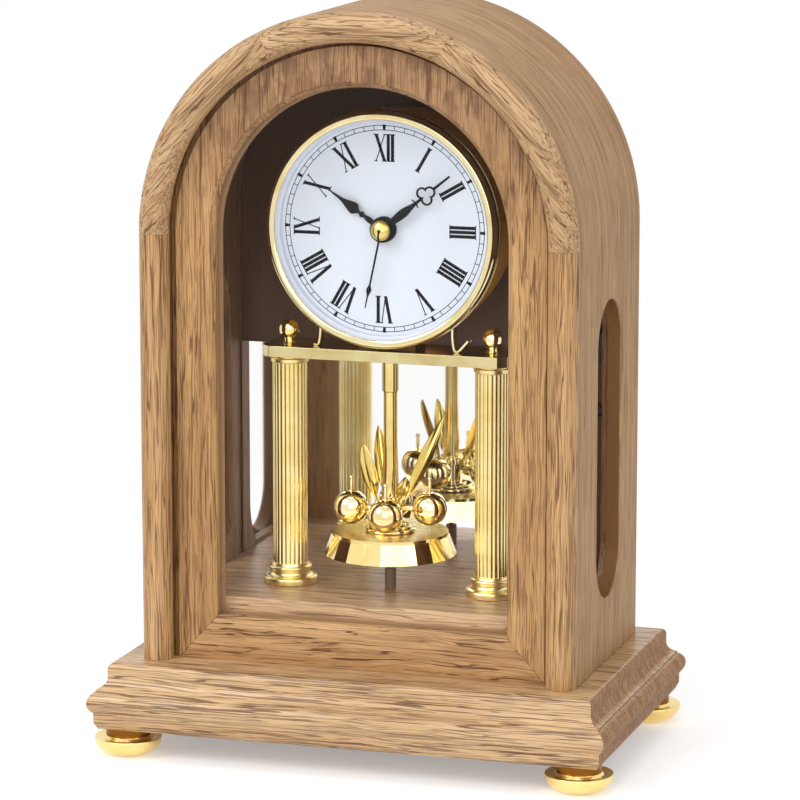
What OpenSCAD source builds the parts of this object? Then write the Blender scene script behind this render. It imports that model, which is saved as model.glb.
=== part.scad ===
// Arched wooden table clock with a turning pendulum under a drum movement.
// Millimetres. Z is up, the clock looks toward -Y and X runs to its right.
// The origin is on the table, under the middle of the plinth.

/* [Case] */
// overall width of the arched case
case_w = 180; // [120:1:260]
// height of the arch centre above the table; the clock is this plus half the width tall
arch_z = 211; // [160:1:320]
// depth of the case shell, front edge to rear edge
case_d = 95.9; // [80:0.1:140]
// how far the shell's middle lies behind the origin
case_shift = 1.55; // [0:0.05:6]
// thickness of the outer shell
shell_t = 6; // [4:0.1:9]
// thickness of the lining inside the shell
lining_t = 4.6; // [3:0.1:8]
// how far the lining stops short of the shell's rear edge, which makes the door's seat
door_seat = 5.6; // [4:0.1:9]
// width of the half-round front moulding
moulding_w = 12.4; // [8:0.1:18]

/* [Side windows] */
// width of each side window
slot_w = 38; // [20:1:50]
// height of each side window
slot_h = 121; // [60:1:150]
// height of the middle of the windows
slot_z = 124.7; // [100:0.1:160]
// how far the windows lie behind the origin
slot_y = 2.4; // [-6:0.1:10]
// how much wider the lining's window is than the shell's, on each side
slot_step = 9; // [1:0.1:14]

/* [Front frame] */
// width of the frame's visible face
frame_w = 16.1; // [10:0.1:24]
// height of the sill above the table
sill_z = 56.1; // [48:0.1:80]
// chamfer round the opening
frame_cham = 2; // [0.5:0.1:4]
// width of the dark groove between the frame's face and the lining
frame_gap = 3.1; // [1:0.1:6]
// how far the frame's face lies behind the shell's front edge
frame_sink = 3.1; // [1:0.1:8]
// thickness of the frame
frame_t = 9; // [7:0.1:14]
// thickness of the front glass
glass_t = 2; // [1.5:0.1:3]
// radius of the gasket's lower corners
gasket_r = 4; // [1:0.1:8]

/* [Plinth] */
// how far the bead stands out from the case on each side
plinth_out_x = 16.85; // [10:0.05:30]
// how far the bead stands out from the case at front and rear, on average
plinth_out_y = 21.2; // [14:0.1:36]
// height of the plinth's top above the table
plinth_z = 38.3; // [30:0.1:60]
// height of the moulded board
plinth_t = 20.7; // [18:0.1:28]
// radius of the bead
bead_r = 5; // [3:0.1:6]
// radius of the cove above the bead
cove_r = 4.9; // [3:0.1:6]
// inset of the upper step from the bead
step_in = 6.8; // [5:0.1:10]
// rounding of the top edge
top_r = 2.4; // [1:0.1:4]
// inset of the lower band from the bead
band_in = 2.2; // [1:0.1:5]

/* [Feet] */
// radius of a foot
foot_r = 13.6; // [8:0.1:20]
// height of a foot
foot_h = 11.8; // [8:0.1:20]
// distance of a foot's middle from the bead at the side
foot_in_x = 13; // [8:0.05:40]
// distance of a foot's middle from the bead at front or rear
foot_in_y = 13.25; // [8:0.05:40]

/* [Inside the case] */
// height of the floor board's top
floor_z = 62.5; // [57:0.1:80]
// thickness of the floor board
floor_t = 12; // [8:0.5:16]
// thickness of the mirror
mirror_t = 2.4; // [2:0.1:4]
// width left free beside the mirror for the catch and the knob
mirror_side = 19.4; // [15:0.1:40]
// thickness of the rear door
door_t = 5; // [4:0.1:8]

/* [Columned stand] */
// how far the stand's middle lies in front of the origin
stand_front = 1.5; // [-10:0.1:10]
// distance from the middle to each column
column_x = 42.8; // [34:0.1:52]
// radius of a column's shaft
column_r = 7.1; // [5:0.1:9]
// flutes round a shaft
column_flutes = 20; // [8:1:28]
// radius of a flute
flute_r = 0.62; // [0.3:0.01:1]
// how far a column's base stands out from its shaft
base_out = 3.8; // [2.4:0.1:7]
// thickness of the top plate
plate_t = 4.5; // [3:0.1:8]
// length of the top plate beyond the middle of each column
plate_end = 8.6; // [5:0.1:16]
// depth of the top plate
plate_d = 24; // [18:0.1:34]
// cut corners of the top plate
plate_cut = 3.5; // [1:0.1:8]
// radius of a ball finial
finial_r = 4.3; // [2:0.1:6]

/* [Drum clock] */
// outer radius of the drum
drum_r = 46; // [43:0.1:58]
// how far the bezel stands out from the drum
bezel_out = 2.3; // [1.6:0.1:5]
// gap between the drum's underside and the top plate
drum_gap = 3; // [2.5:0.1:8]
// how far the dial's face lies in front of the origin
dial_front = 9.5; // [4:0.1:20]
// length of the drum behind the bezel
drum_l = 28; // [24:0.5:34]
// wall of the drum
drum_wall = 1.2; // [0.8:0.1:2]
// width of the white ring round the dial
ring_w = 2.5; // [1.5:0.1:6]
// rise of the domed lens
lens_rise = 3.4; // [1:0.1:6]
// gap between the hour hand's tip and the white ring
hour_gap = 14.8; // [8:0.1:24]
// gap between the minute hand's tip and the white ring
minute_gap = 7.4; // [2:0.1:18]
// gap between the second hand's tip and the white ring
second_gap = 10.6; // [2:0.1:20]
// hour shown
time_h = 10; // [0:1:11]
// minute shown
time_m = 8; // [0:1:59]
// second shown
time_s = 32; // [0:1:59]

/* [Pendulum] */
// radius of the disc's upper edge
disc_r = 23.9; // [16:0.1:28]
// radius of the skirt's lower edge
skirt_r = 26.9; // [18:0.1:31]
// height of the disc with its skirt
disc_h = 9.2; // [6:0.1:14]
// gap between the skirt's lower edge and the floor
skirt_gap = 15; // [6:0.1:24]
// facets round the skirt
skirt_facets = 22; // [12:1:36]
// radius of each ball
ball_r = 7.1; // [4:0.1:9]
// distance from the rod to each ball's middle
ball_orbit = 16; // [12:0.1:19]
// gap between a ball and the disc
ball_gap = 2.2; // [1:0.1:8]
// turn of the first ball from the X axis
ball_turn = 10; // [0:1:89]
// radius of the rod
rod_r = 2.75; // [1.5:0.05:4]

/* [Hidden] */
$fn = 96;

eps = 0.01;
lap = 0.5;          // how far pieces of one solid run into each other
play = 0.3;         // gap between faces of parts that move past each other
way = 0.4;          // free gap round the spindle where it passes through a part
run = 0.06;         // radial running clearance of a shaft in its bearing
fit = 0.1;          // gap between a part and the pocket it is fixed in
seat = 0.02;        // gap between two faces that are fixed to each other

oak = [0.74, 0.58, 0.40];
oak_side = [0.66, 0.53, 0.41];
oak_dark = [0.48, 0.36, 0.26];
gold = [0.90, 0.80, 0.46];
satin_gold = [0.95, 0.82, 0.46];
steel = [0.75, 0.76, 0.78];
black = [0.08, 0.08, 0.09];
white = [0.95, 0.96, 0.98];
slate = [0.25, 0.27, 0.30];
clear = [0.85, 0.92, 0.95, 0.35];

case_hw = case_w / 2;
case_front = case_d / 2 - case_shift;    // distance of the shell's front edge before the origin
shell_in = case_hw - shell_t;
lining_in = shell_in - lining_t;
case_back = case_d - case_front;         // y of the shell's rear edge
lining_back = case_back - door_seat;     // y of the lining's rear edge
moulding_r = moulding_w / 2;
moulding_x = case_hw - moulding_r;

// 2D arch-headed outline in X and Z: half width hw, bottom at z0.
module arch2d(hw, z0) {
    translate([-hw, z0]) square([2 * hw, arch_z - z0]);
    intersection() {
        translate([0, arch_z]) circle(r = hw);
        translate([-hw, arch_z - eps]) square([2 * hw, hw + 1]);
    }
}

// Extrudes a shape drawn in X and Z from y0 to y1.
module along_y(y0, y1)
    translate([0, y1, 0]) rotate([90, 0, 0]) linear_extrude(y1 - y0) children();

// Extrudes a shape drawn in Y and Z from x0 to x1.
module along_x(x0, x1)
    translate([x0, 0, 0]) rotate([90, 0, 90]) linear_extrude(x1 - x0) children();

// Cylinder on the dial's axis from y0 to y1.
module disc_y(r, y0, y1, x = 0, z = arch_z)
    translate([x, y0, z]) rotate([-90, 0, 0]) cylinder(r = r, h = y1 - y0);

// Upright cylinder from z0 to z1.
module post(r, z0, z1, x = 0, y = 0)
    translate([x, y, z0]) cylinder(r = r, h = z1 - z0);

// Half ring round the arch, from a profile of radius and distance in front of the origin.
module arch_sweep()
    translate([0, 0, arch_z]) rotate([90, 0, 0]) rotate_extrude(angle = 180) children();

// The same profile as an upright bar on the side s of the case.
module side_bar(s, z0)
    translate([0, 0, z0]) linear_extrude(arch_z - z0)
        scale([s, -1]) children();

// Plinth: one moulded board over a plain band.

plinth_w = case_w + 2 * plinth_out_x;
plinth_d = case_d + 2 * plinth_out_y;
bead_mid = plinth_z - plinth_t + bead_r;
cove_in = step_in - cove_r;
cove_drop = 5.7;                  // from the top down to the middle of the cove
cove_mid = plinth_z - cove_drop;
step_low = cove_mid + 0.6;        // underside of the upper step
quirk_in = 3;                     // inset of the flat between bead and cove

// Outline of the moulded edge: h is the half size of the board at its bead.
module plinth_profile(h) {
    z0 = plinth_z - plinth_t;
    translate([-h + bead_r, z0]) square([2 * (h - bead_r), 2 * bead_r]);
    translate([-h + band_in, z0]) square([2 * (h - band_in), bead_r]);
    translate([-h + bead_r, bead_mid]) circle(r = bead_r);
    translate([h - bead_r, bead_mid]) circle(r = bead_r);
    difference() {
        translate([-h + quirk_in, bead_mid]) square([2 * (h - quirk_in), step_low - bead_mid]);
        translate([-h + cove_in, cove_mid]) circle(r = cove_r);
        translate([h - cove_in, cove_mid]) circle(r = cove_r);
        for (s = [-1, 1])
            translate([s * (h - step_in / 2), cove_mid + cove_r / 2])
                square([step_in, cove_r], center = true);
    }
    translate([-h + step_in, cove_mid - lap])
        square([2 * (h - step_in), plinth_z - top_r - cove_mid + lap]);
    translate([-h + step_in + top_r, plinth_z - top_r - lap])
        square([2 * (h - step_in - top_r), top_r + lap]);
    for (s = [-1, 1]) translate([s * (h - step_in - top_r), plinth_z - top_r]) circle(r = top_r);
}

module plinth_board() {
    color(oak) difference() {
        intersection() {
            along_y(-plinth_d / 2 - 1, plinth_d / 2 + 1) plinth_profile(plinth_w / 2);
            along_x(-plinth_w / 2 - 1, plinth_w / 2 + 1) plinth_profile(plinth_d / 2);
        }
        case_screw_holes();
    }
}

band_w = plinth_w - 2 * band_in;
band_d = plinth_d - 2 * band_in;
band_t = plinth_z - plinth_t - foot_h;
band_cham = 1.3;                  // chamfer under the band, twice as high as it is deep

module band_outline(w) {
    polygon([[-w / 2 + band_cham, foot_h], [w / 2 - band_cham, foot_h],
             [w / 2, foot_h + 2 * band_cham], [w / 2, foot_h + band_t],
             [-w / 2, foot_h + band_t], [-w / 2, foot_h + 2 * band_cham]]);
}

module plinth_band() {
    color(oak) difference() {
        intersection() {
            along_y(-plinth_d / 2, plinth_d / 2) band_outline(band_w);
            along_x(-plinth_w / 2, plinth_w / 2) band_outline(band_d);
        }
        foot_screw_holes();
        case_screw_holes();
    }
}

// Feet: turned cups, each held by a screw from below.

foot_x = plinth_w / 2 - foot_in_x;
foot_y = plinth_d / 2 - foot_in_y;
screw_r = 1.6;
screw_head_r = 3.4;
screw_head_t = 2.4;
screw_sink = 0.6;                      // how deep the head lies inside the foot
screw_slot = 1;
foot_screw_top = foot_h + band_t - 1;
foot_rim_t = 0.6;                      // height of the straight rim over the rounded cup
foot_boss_t = 4.3;                     // height of the boss over the rim
foot_boss_in = 4.6;                    // inset of the boss from the rim
foot_flat = 0.9;                       // the cup's depth as a part of the whole half round

module at_feet()
    for (sx = [-1, 1], sy = [-1, 1]) translate([sx * foot_x, sy * foot_y, 0]) children();

module foot_screw_holes()
    at_feet() post(screw_r + fit, -eps, foot_screw_top + 4 * fit);

// A flattened half-round cup with a boss on its rim.
module foot() {
    cup_z = foot_h - foot_rim_t - foot_boss_t;
    difference() {
        union() {
            intersection() {
                translate([0, 0, cup_z]) scale([1, 1, cup_z / (foot_r * foot_flat)])
                    sphere(r = foot_r);
                post(foot_r + 1, 0, cup_z);
            }
            post(foot_r, cup_z - eps, cup_z + foot_rim_t);
            post(foot_r - foot_boss_in, cup_z, foot_h);
        }
        post(screw_r + fit, -1, foot_h + 1);
        post(screw_head_r + fit, -1, screw_head_t + screw_sink);
    }
}

module feet() color(satin_gold) at_feet() foot();

module foot_screws() color(steel) at_feet() {
    post(screw_r, screw_sink + screw_head_t - eps, foot_screw_top);
    difference() {
        post(screw_head_r, screw_sink, screw_sink + screw_head_t);
        translate([0, 0, screw_sink])
            cube([screw_slot, 2 * screw_head_r + 1, screw_head_t], center = true);
    }
}

// Case: shell, lining and half-round front mouldings.

// Stadium outline of a side window in Y and Z, grown by g.
module slot2d(g = 0) {
    r = slot_w / 2 + g;
    reach = (slot_h - slot_w) / 2;
    translate([slot_y - r, slot_z - reach]) square([2 * r, 2 * reach]);
    for (s = [-1, 1]) translate([slot_y, slot_z + s * reach]) circle(r = r);
}

module case_shell() {
    color(oak_side) difference() {
        along_y(-case_front, case_back) difference() {
            arch2d(case_hw, plinth_z);
            arch2d(shell_in, plinth_z - 1);
        }
        along_x(-case_hw - 1, case_hw + 1) slot2d();
    }
}

slot_sill = slot_z - slot_h / 2;         // lowest point of the shell's window
module case_lining() {
    color(oak_dark) difference() {
        along_y(-case_front, lining_back) difference() {
            arch2d(shell_in, plinth_z);
            arch2d(lining_in, plinth_z - 1);
        }
        along_x(-case_hw, case_hw) intersection() {
            slot2d(slot_step);
            translate([slot_y - slot_w, slot_sill]) square([2 * slot_w, slot_h + slot_w]);
        }
    }
}

// Half-round in radius and distance in front of the origin.
module moulding_profile() intersection() {
    translate([moulding_x, case_front]) circle(r = moulding_r, $fn = 48);
    translate([moulding_x - moulding_r, case_front]) square([moulding_w, moulding_r + 1]);
}

module moulding_left() color(oak) side_bar(-1, plinth_z) moulding_profile();
module moulding_right() color(oak) side_bar(1, plinth_z) moulding_profile();
module moulding_arch() color(oak) arch_sweep() moulding_profile();

// Front frame with its glass.

frame_front = case_front - frame_sink;
frame_hw = lining_in - frame_gap;
open_hw = frame_hw - frame_w;            // half width of the opening inside the chamfer
frame_back = frame_front - frame_t;
frame_step = 4;                   // thickness of the frame's narrower front part
glass_seat = 4;                   // width of the ledge the glass lies against
gasket_t = 2;
glass_front = frame_back + gasket_t + glass_t;
gasket_in = 0.9;                  // how far the gasket shows inside the opening

module frame_profile() polygon([
    [open_hw + glass_seat, frame_back], [lining_in, frame_back],
    [lining_in, frame_front - frame_step], [frame_hw, frame_front - frame_step],
    [frame_hw, frame_front], [open_hw + frame_cham, frame_front],
    [open_hw, frame_front - frame_cham], [open_hw, glass_front],
    [open_hw + glass_seat, glass_front]]);

// Region of the front that belongs to the bottom rail, between the two mitres.
module rail_region()
    polygon([[-open_hw, sill_z], [open_hw, sill_z], [frame_hw, plinth_z], [-frame_hw, plinth_z]]);

module front_frame() color(oak) difference() {
    union() {
        arch_sweep() frame_profile();
        for (s = [-1, 1]) side_bar(s, plinth_z) frame_profile();
    }
    along_y(-frame_front - 1, 0) rail_region();
    along_y(-glass_front, 0)
        translate([-open_hw - glass_seat, sill_z - glass_seat])
            square([2 * (open_hw + glass_seat), frame_hw]);
}

module frame_rail() color(oak) intersection() {
    along_x(-case_hw, case_hw) polygon([
        [-frame_back, plinth_z], [-frame_front, plinth_z],
        [-frame_front, sill_z - frame_cham], [-frame_front + frame_cham, sill_z],
        [-glass_front, sill_z], [-glass_front, sill_z - glass_seat],
        [-frame_back, sill_z - glass_seat]]);
    along_y(-frame_front - 1, 0) rail_region();
}

module front_glass() color(clear)
    along_y(-glass_front, -glass_front + glass_t)
        arch2d(open_hw + glass_seat - fit, sill_z - glass_seat + fit);

// Arch-headed outline with rounded lower corners.
module gasket2d(hw, z0, r) {
    translate([-hw, z0 + r]) square([2 * hw, arch_z - z0 - r]);
    translate([-hw + r, z0]) square([2 * (hw - r), r + 1]);
    for (s = [-1, 1]) translate([s * (hw - r), z0 + r]) circle(r = r, $fn = 32);
    intersection() {
        translate([0, arch_z]) circle(r = hw);
        translate([-hw, arch_z - eps]) square([2 * hw, hw + 1]);
    }
}

module glass_gasket() color(black) along_y(-frame_back - gasket_t, -frame_back) difference() {
    arch2d(open_hw + glass_seat - fit, sill_z - glass_seat + fit);
    gasket2d(open_hw - gasket_in, sill_z + gasket_in, gasket_r);
}

// Floor of the case.

bearer_w = 10;
nut_play = 0.6;                        // room round a nut under the floor board
floor_under = floor_z - floor_t;
bearer_front = 4.3 - frame_back;
bearer_back = lining_back - 3.9;

module floor_board() color(oak) difference() {
    translate([-lining_in, -frame_back, floor_under])
        cube([2 * lining_in, frame_back + lining_back, floor_t]);
    for (s = [-1, 1]) {
        post(tie_r + fit, floor_under - 1, floor_z + 1, s * column_x, -stand_front);
        post(tie_nut_r + nut_play, floor_under - 1, floor_under + tie_nut_t + nut_play,
             s * column_x, -stand_front);
    }
    post(guide_r, floor_z - guide_root, floor_z + 1, 0, -stand_front);
}

module floor_bearers() color(oak_dark) difference() {
    for (s = [-1, 1])
        translate([s * (lining_in - bearer_w / 2) - bearer_w / 2, bearer_front, plinth_z])
            cube([bearer_w, bearer_back - bearer_front, floor_under - plinth_z]);
    case_screw_holes();
}

case_screw_r = 2;
case_screw_head = 4;
case_screw_head_t = 2.8;
case_screw_sink = 0.4;                 // how deep the head lies inside the band
case_screw_x = lining_in - bearer_w / 2;
case_screw_y = 5;                      // middle of each pair of screws
case_screw_gap = 44;
case_screw_top = floor_under - 3;

module at_case_screws() for (sx = [-1, 1], sy = [-1, 1])
    translate([sx * case_screw_x, case_screw_y + sy * case_screw_gap / 2, 0]) children();

module case_screw_holes() at_case_screws() {
    post(case_screw_r + fit, foot_h - 1, case_screw_top + 4 * fit);
    post(case_screw_head + fit, foot_h - 1, foot_h + case_screw_sink + case_screw_head_t);
}

module case_screws() color(steel) at_case_screws() {
    post(case_screw_r, foot_h + case_screw_head_t, case_screw_top);
    difference() {
        post(case_screw_head, foot_h + case_screw_sink,
             foot_h + case_screw_sink + case_screw_head_t);
        translate([0, 0, foot_h + case_screw_sink])
            cube([1.2 * screw_slot, 2 * case_screw_head + 1, case_screw_head_t], center = true);
    }
}

// Rear door with the mirror.

door_gap = 0.5;                        // gap between the door and the shell
door_hw = shell_in - door_gap;
door_low = plinth_z + door_gap;
door_y0 = case_back - door_t;
mirror_gap = 0.7;                      // gap between the mirror and the lining or floor
mirror_x0 = -lining_in + mirror_gap;
mirror_x1 = lining_in - mirror_side;
mirror_low = floor_z + mirror_gap;
hinge_x = -case_hw + 4.6;
hinge_r = 1.7;
hinge_pin_r = 0.8;
hinge_y = case_back + hinge_r + 0.5;
hinge_leaf_t = 0.9;
hinge_h = 22;
hinge_zs = [plinth_z + 47.7, arch_z - 25];
hinge_gap = 0.15;                      // half the gap between a hinge's two knuckles
hinge_case_w = 4.4;
hinge_door_w = 13;
knob_x = door_hw - 10;
knob_z = arch_z - 79;
knob_stem_r = 1.5;
knob_washer_r = 3;
knob_foot_r = 4;
knob_neck_r = 2.4;
knob_ball_r = 4.4;
catch_z = arch_z - 51;
catch_plate_w = 9;
catch_plate_h = 16;
catch_plate_t = 1;
magnet_w = 10;
magnet_d = 14;
magnet_h = 12;

module back_door() color(oak_dark) difference() {
    along_y(door_y0, case_back) arch2d(door_hw, door_low);
    disc_y(knob_stem_r + fit, door_y0 - 1, case_back + 1, knob_x, knob_z);
    translate([door_hw - 2 - catch_plate_w, door_y0 - eps, catch_z - catch_plate_h / 2])
        cube([catch_plate_w, catch_plate_t + fit, catch_plate_h]);
}

// The mirror reaches up to the height of the stand's top plate.
module mirror() color(steel) along_y(door_y0 - mirror_t, door_y0)
    translate([mirror_x0, mirror_low]) square([mirror_x1 - mirror_x0, plate_z - mirror_low]);

// Leaf of a hinge from its pin to the side s, with the web under its knuckle.
module hinge_leaf(s, z0, z1, w, bore) difference() {
    union() {
        post(hinge_r, z0, z1, hinge_x, hinge_y);
        translate([s > 0 ? hinge_x : hinge_x - w, case_back + seat, z0])
            cube([w, hinge_leaf_t, z1 - z0]);
        translate([s > 0 ? hinge_x : hinge_x - hinge_r, case_back + seat, z0])
            cube([hinge_r, hinge_y - case_back - seat, z1 - z0]);
    }
    post(bore, z0 - 1, z1 + 1, hinge_x, hinge_y);
}

module hinge_leaves_case() color(gold) for (z = hinge_zs)
    hinge_leaf(-1, z - hinge_h / 2, z - hinge_gap, hinge_case_w, hinge_pin_r + seat);

module hinge_leaves_door() color(gold) for (z = hinge_zs)
    hinge_leaf(1, z + hinge_gap, z + hinge_h / 2, hinge_door_w, hinge_pin_r + run);

module hinge_pins() color(steel) for (z = hinge_zs)
    post(hinge_pin_r, z - hinge_h / 2, z + hinge_h / 2 + lap, hinge_x, hinge_y);

module door_knob() color(gold) {
    disc_y(knob_stem_r, door_y0 - 1, case_back + 0.4, knob_x, knob_z);
    disc_y(knob_washer_r, door_y0 - 1.8, door_y0 - seat, knob_x, knob_z);
    disc_y(knob_foot_r, case_back + seat, case_back + 2, knob_x, knob_z);
    disc_y(knob_neck_r, case_back + 1.9, case_back + 5, knob_x, knob_z);
    translate([knob_x, case_back + 8, knob_z]) sphere(r = knob_ball_r, $fn = 48);
}

// The magnet is fixed to the lining's inner face, beside the mirror.
module catch_magnet() color(black)
    translate([lining_in - magnet_w, door_y0 - magnet_d, catch_z - magnet_h / 2])
        cube([magnet_w, magnet_d - play, magnet_h]);

module catch_plate() color(steel)
    translate([door_hw - 2 - catch_plate_w + fit, door_y0 + seat, catch_z - catch_plate_h / 2 + fit])
        cube([catch_plate_w - 2 * fit, catch_plate_t - seat, catch_plate_h - 2 * fit]);

// Columned stand.

tie_r = 1.5;
tie_nut_r = 3.2;
tie_nut_t = 2.4;
base_step = 3;                         // height of the base's straight foot
base_mid = 5.4;                        // height where its slope ends
base_h = 8.6;
base_neck = 1.4;                       // how far its neck stands out from the shaft
capital_h = 3.4;
capital_band = 2.1;                    // height of the capital's wider band
flute_fn = 16;
base_r = column_r + base_out;
plate_w = 2 * (column_x + plate_end);
plate_z = arch_z - drum_r - drum_gap;    // height of the plate's upper face
plate_under = plate_z - plate_t;
shaft_top = plate_under - capital_h;
shaft_low = floor_z + base_h;

module at_columns() for (s = [-1, 1]) translate([s * column_x, -stand_front, 0]) children();

module shaft() difference() {
    post(column_r, shaft_low, shaft_top);
    for (i = [0:column_flutes - 1]) rotate(i * 360 / column_flutes)
        translate([column_r + flute_r * 0.35, 0, shaft_low - 1])
            cylinder(r = flute_r, h = shaft_top - shaft_low + 2, $fn = flute_fn);
    post(tie_r + fit, shaft_low - 1, shaft_top + 1);
}

module column_left() color(gold) translate([-column_x, -stand_front, 0]) shaft();
module column_right() color(gold) translate([column_x, -stand_front, 0]) shaft();

module column_bases() color(gold) at_columns() difference() {
    rotate_extrude() {
        square([base_r, floor_z + base_step]);
        polygon([[0, floor_z + base_step - eps], [base_r - 0.8, floor_z + base_step - eps],
                 [column_r + base_neck, floor_z + base_mid],
                 [column_r + base_neck, floor_z + base_h - base_neck],
                 [column_r + base_neck / 2, floor_z + base_h], [0, floor_z + base_h]]);
    }
    post(base_r + 1, -1, floor_z);
    post(tie_r + fit, floor_z - 1, shaft_low + 1);
}

module column_capitals() color(gold) at_columns() difference() {
    union() {
        post(column_r + 0.6, shaft_top, shaft_top + capital_band);
        post(column_r + 0.1, shaft_top + capital_band - fit, plate_under);
    }
    post(tie_r + fit, shaft_top - 1, plate_under + 1);
}

module tie_rods() color(steel) at_columns()
    post(tie_r, floor_under + fit, plate_z + finial_foot_t + fit);

module tie_nuts() color(steel) at_columns() difference() {
    translate([0, 0, floor_under + nut_play]) cylinder(r = tie_nut_r, h = tie_nut_t, $fn = 6);
    post(tie_r + seat, floor_under, floor_under + tie_nut_t + 1);
}

module top_plate() color(gold) difference() {
    a = plate_w / 2;
    b = plate_d / 2;
    c = plate_cut;
    translate([0, -stand_front, plate_under]) linear_extrude(plate_t)
        polygon([[-a, -b + c], [-a + c, -b], [a - c, -b], [a, -b + c],
                 [a, b - c], [a - c, b], [-a + c, b], [-a, b - c]]);
    at_columns() post(tie_r + fit, plate_under - 1, plate_z + 1);
    post(spindle_r + way, plate_under - 1, plate_z + 1, 0, -stand_front);
}

finial_foot_r = 2.4;
finial_foot_t = 2;
finial_z = plate_z + finial_r + 1;
module finials() color(gold) at_columns() difference() {
    union() {
        translate([0, 0, finial_z]) sphere(r = finial_r, $fn = 48);
        post(finial_foot_r, plate_z + seat, plate_z + finial_foot_t);
    }
    post(tie_r + seat, plate_z - 1, plate_z + finial_foot_t + 3 * fit);
}

// Drum clock.

dial_y = -dial_front;                  // y of the dial's face
dial_t = 0.8;
drum_y0 = dial_y;
drum_y1 = drum_y0 + drum_l;
drum_in = drum_r - drum_wall;
drum_back_t = 1.4;
drum_rim = 3.6;                        // width of the ledge round the drum's rear opening
bezel_y0 = dial_y - 5.6;
lens_y = dial_y - 4.6;                 // y of the lens's rear edge
lens_t = 1;
saddle_hw = 12;
saddle_d = 14;
saddle_h = 9;
clear_y = 60;                          // reach of cuts that run right through the drum

// Cradle under the drum, on the top plate.
module drum_saddle() color(gold) difference() {
    translate([-saddle_hw, -stand_front - saddle_d / 2 + 2, plate_z])
        cube([2 * saddle_hw, saddle_d, saddle_h]);
    disc_y(drum_r + fit, -clear_y, clear_y);
    post(spindle_r + way, plate_z - 1, plate_z + saddle_h + 1, 0, -stand_front);
}

// Bent strips from the plate to the drum's underside, each with a tongue that rises outward.
clip_x = 28;
clip_t = 0.8;
clip_w = 5;
clip_foot = 2;
clip_h = 16;
clip_tongue = 7.4;
clip_rise = 42;                        // slope of the tongue
clip_y = -7.5;                         // front edge of the strips
module drum_clips() color(gold) for (s = [-1, 1]) difference() {
    scale([s, 1, 1]) along_y(clip_y, clip_y + clip_w) translate([clip_x, plate_z + seat]) {
        translate([-clip_t / 2, 0]) square([clip_t, clip_h]);
        square([clip_foot, clip_t]);
        translate([clip_foot - clip_t, 0]) rotate(clip_rise) square([clip_tongue, clip_t]);
    }
    disc_y(drum_r + fit, -clear_y, clear_y);
}

module drum_case() color(gold) difference() {
    disc_y(drum_r, drum_y0, drum_y1);
    disc_y(drum_in, drum_y0 - 1, drum_y1 - drum_back_t);
    disc_y(drum_in - drum_rim, drum_y0, drum_y1 + 1);
    post(spindle_r + way, plate_z, arch_z, 0, -stand_front);
}

// Rolled ring that holds the lens on the drum's front.
module bezel() color(gold) translate([0, 0, arch_z]) rotate([90, 0, 0]) rotate_extrude()
    bezel_profile();

bezel_r = drum_r + bezel_out;
lens_r = drum_r - 0.7;
dial_r = lens_r - ring_w;
bezel_roll = 1.5;                      // radius of the rolled outer edge
bezel_lip = 1.1;                       // radius of the bead beside the lens
bezel_skirt = 1.4;                     // straight part of the bezel's outer edge

// Section in radius and distance in front of the origin: skirt, rolled shoulder, bead lip.
module bezel_profile() {
    h0 = -drum_y0;
    h1 = -bezel_y0;
    difference() {
        union() {
            translate([lens_r - 1, h0]) square([bezel_r - bezel_roll - lens_r + 1, h1 - h0]);
            translate([lens_r, h0]) square([bezel_r - lens_r, bezel_skirt]);
            translate([bezel_r - bezel_roll, h0 + bezel_skirt])
                circle(r = bezel_roll, $fn = 32);
            translate([bezel_r - bezel_roll - bezel_lip, h1]) circle(r = bezel_lip, $fn = 32);
        }
        translate([0, h0 - 1]) square([lens_r + fit, -lens_y + lens_t - h0 + 1 + 2 * fit]);
        translate([0, h0 - bezel_r]) square([bezel_r + 1, bezel_r]);
    }
}

lens_sphere = (lens_r * lens_r + lens_rise * lens_rise) / (2 * lens_rise);
lens_rim = 1.2;                        // width of the lens's flat rim
module lens() color(clear) difference() {
    intersection() {
        translate([0, lens_y - lens_t - lens_rise + lens_sphere, arch_z])
            sphere(r = lens_sphere, $fn = 200);
        disc_y(lens_r, lens_y - lens_t - lens_rise - 1, lens_y);
    }
    intersection() {
        translate([0, lens_y - lens_rise + lens_sphere, arch_z])
            sphere(r = lens_sphere, $fn = 200);
        disc_y(lens_r - lens_rim, lens_y - lens_t - lens_rise - 1, lens_y + 1);
    }
}

// White conical ring between the dial's edge and the lens.
ring_edge = 0.9;                       // width of the ring's flat front edge
module dial_ring() color(white) translate([0, 0, arch_z]) rotate([90, 0, 0]) rotate_extrude()
    polygon([[dial_r, -dial_y], [lens_r, -dial_y], [lens_r, -lens_y - fit / 2],
             [lens_r - ring_edge, -lens_y - fit / 2], [dial_r, -dial_y + lap]]);

bush_r = 4;
module dial() color(white) difference() {
    disc_y(drum_in - fit, dial_y, dial_y + dial_t);
    disc_y(bush_r + fit, dial_y - 1, dial_y + dial_t + 1);
}

// Quartz movement behind the dial, with its battery bay open to the rear.
move_gap = 5.202;                      // gap between the movement's corners and the drum's wall
move_w = (drum_in - move_gap) * sqrt(2);
move_t = 16;
move_y0 = dial_y + dial_t + seat;
move_y1 = move_y0 + move_t;
batt_r = 7.1;
batt_l = 50;
batt_pin_r = 2.7;
batt_pin_l = 1.4;
batt_z = arch_z - 17.5;
batt_y = move_y1 - batt_r - 0.6;
bay_r = batt_r + way;
contact_t = 0.6;
contact_w = 8;
contact_h = 10;
contact_gap = 0.8;                     // gap between the battery and a contact
hour_pipe_r = 2.5;
minute_pipe_r = 1.6;
second_pin_r = 0.75;
hour_pipe_end = 6;                     // depth of each pipe's rear end behind the dial
minute_pipe_end = 5.6;
second_pin_end = 5;
bush_y = dial_y - 2;                   // front end of the movement's threaded bush
knob_axis_x = 12;
knob_axis_z = arch_z + 9;
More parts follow.
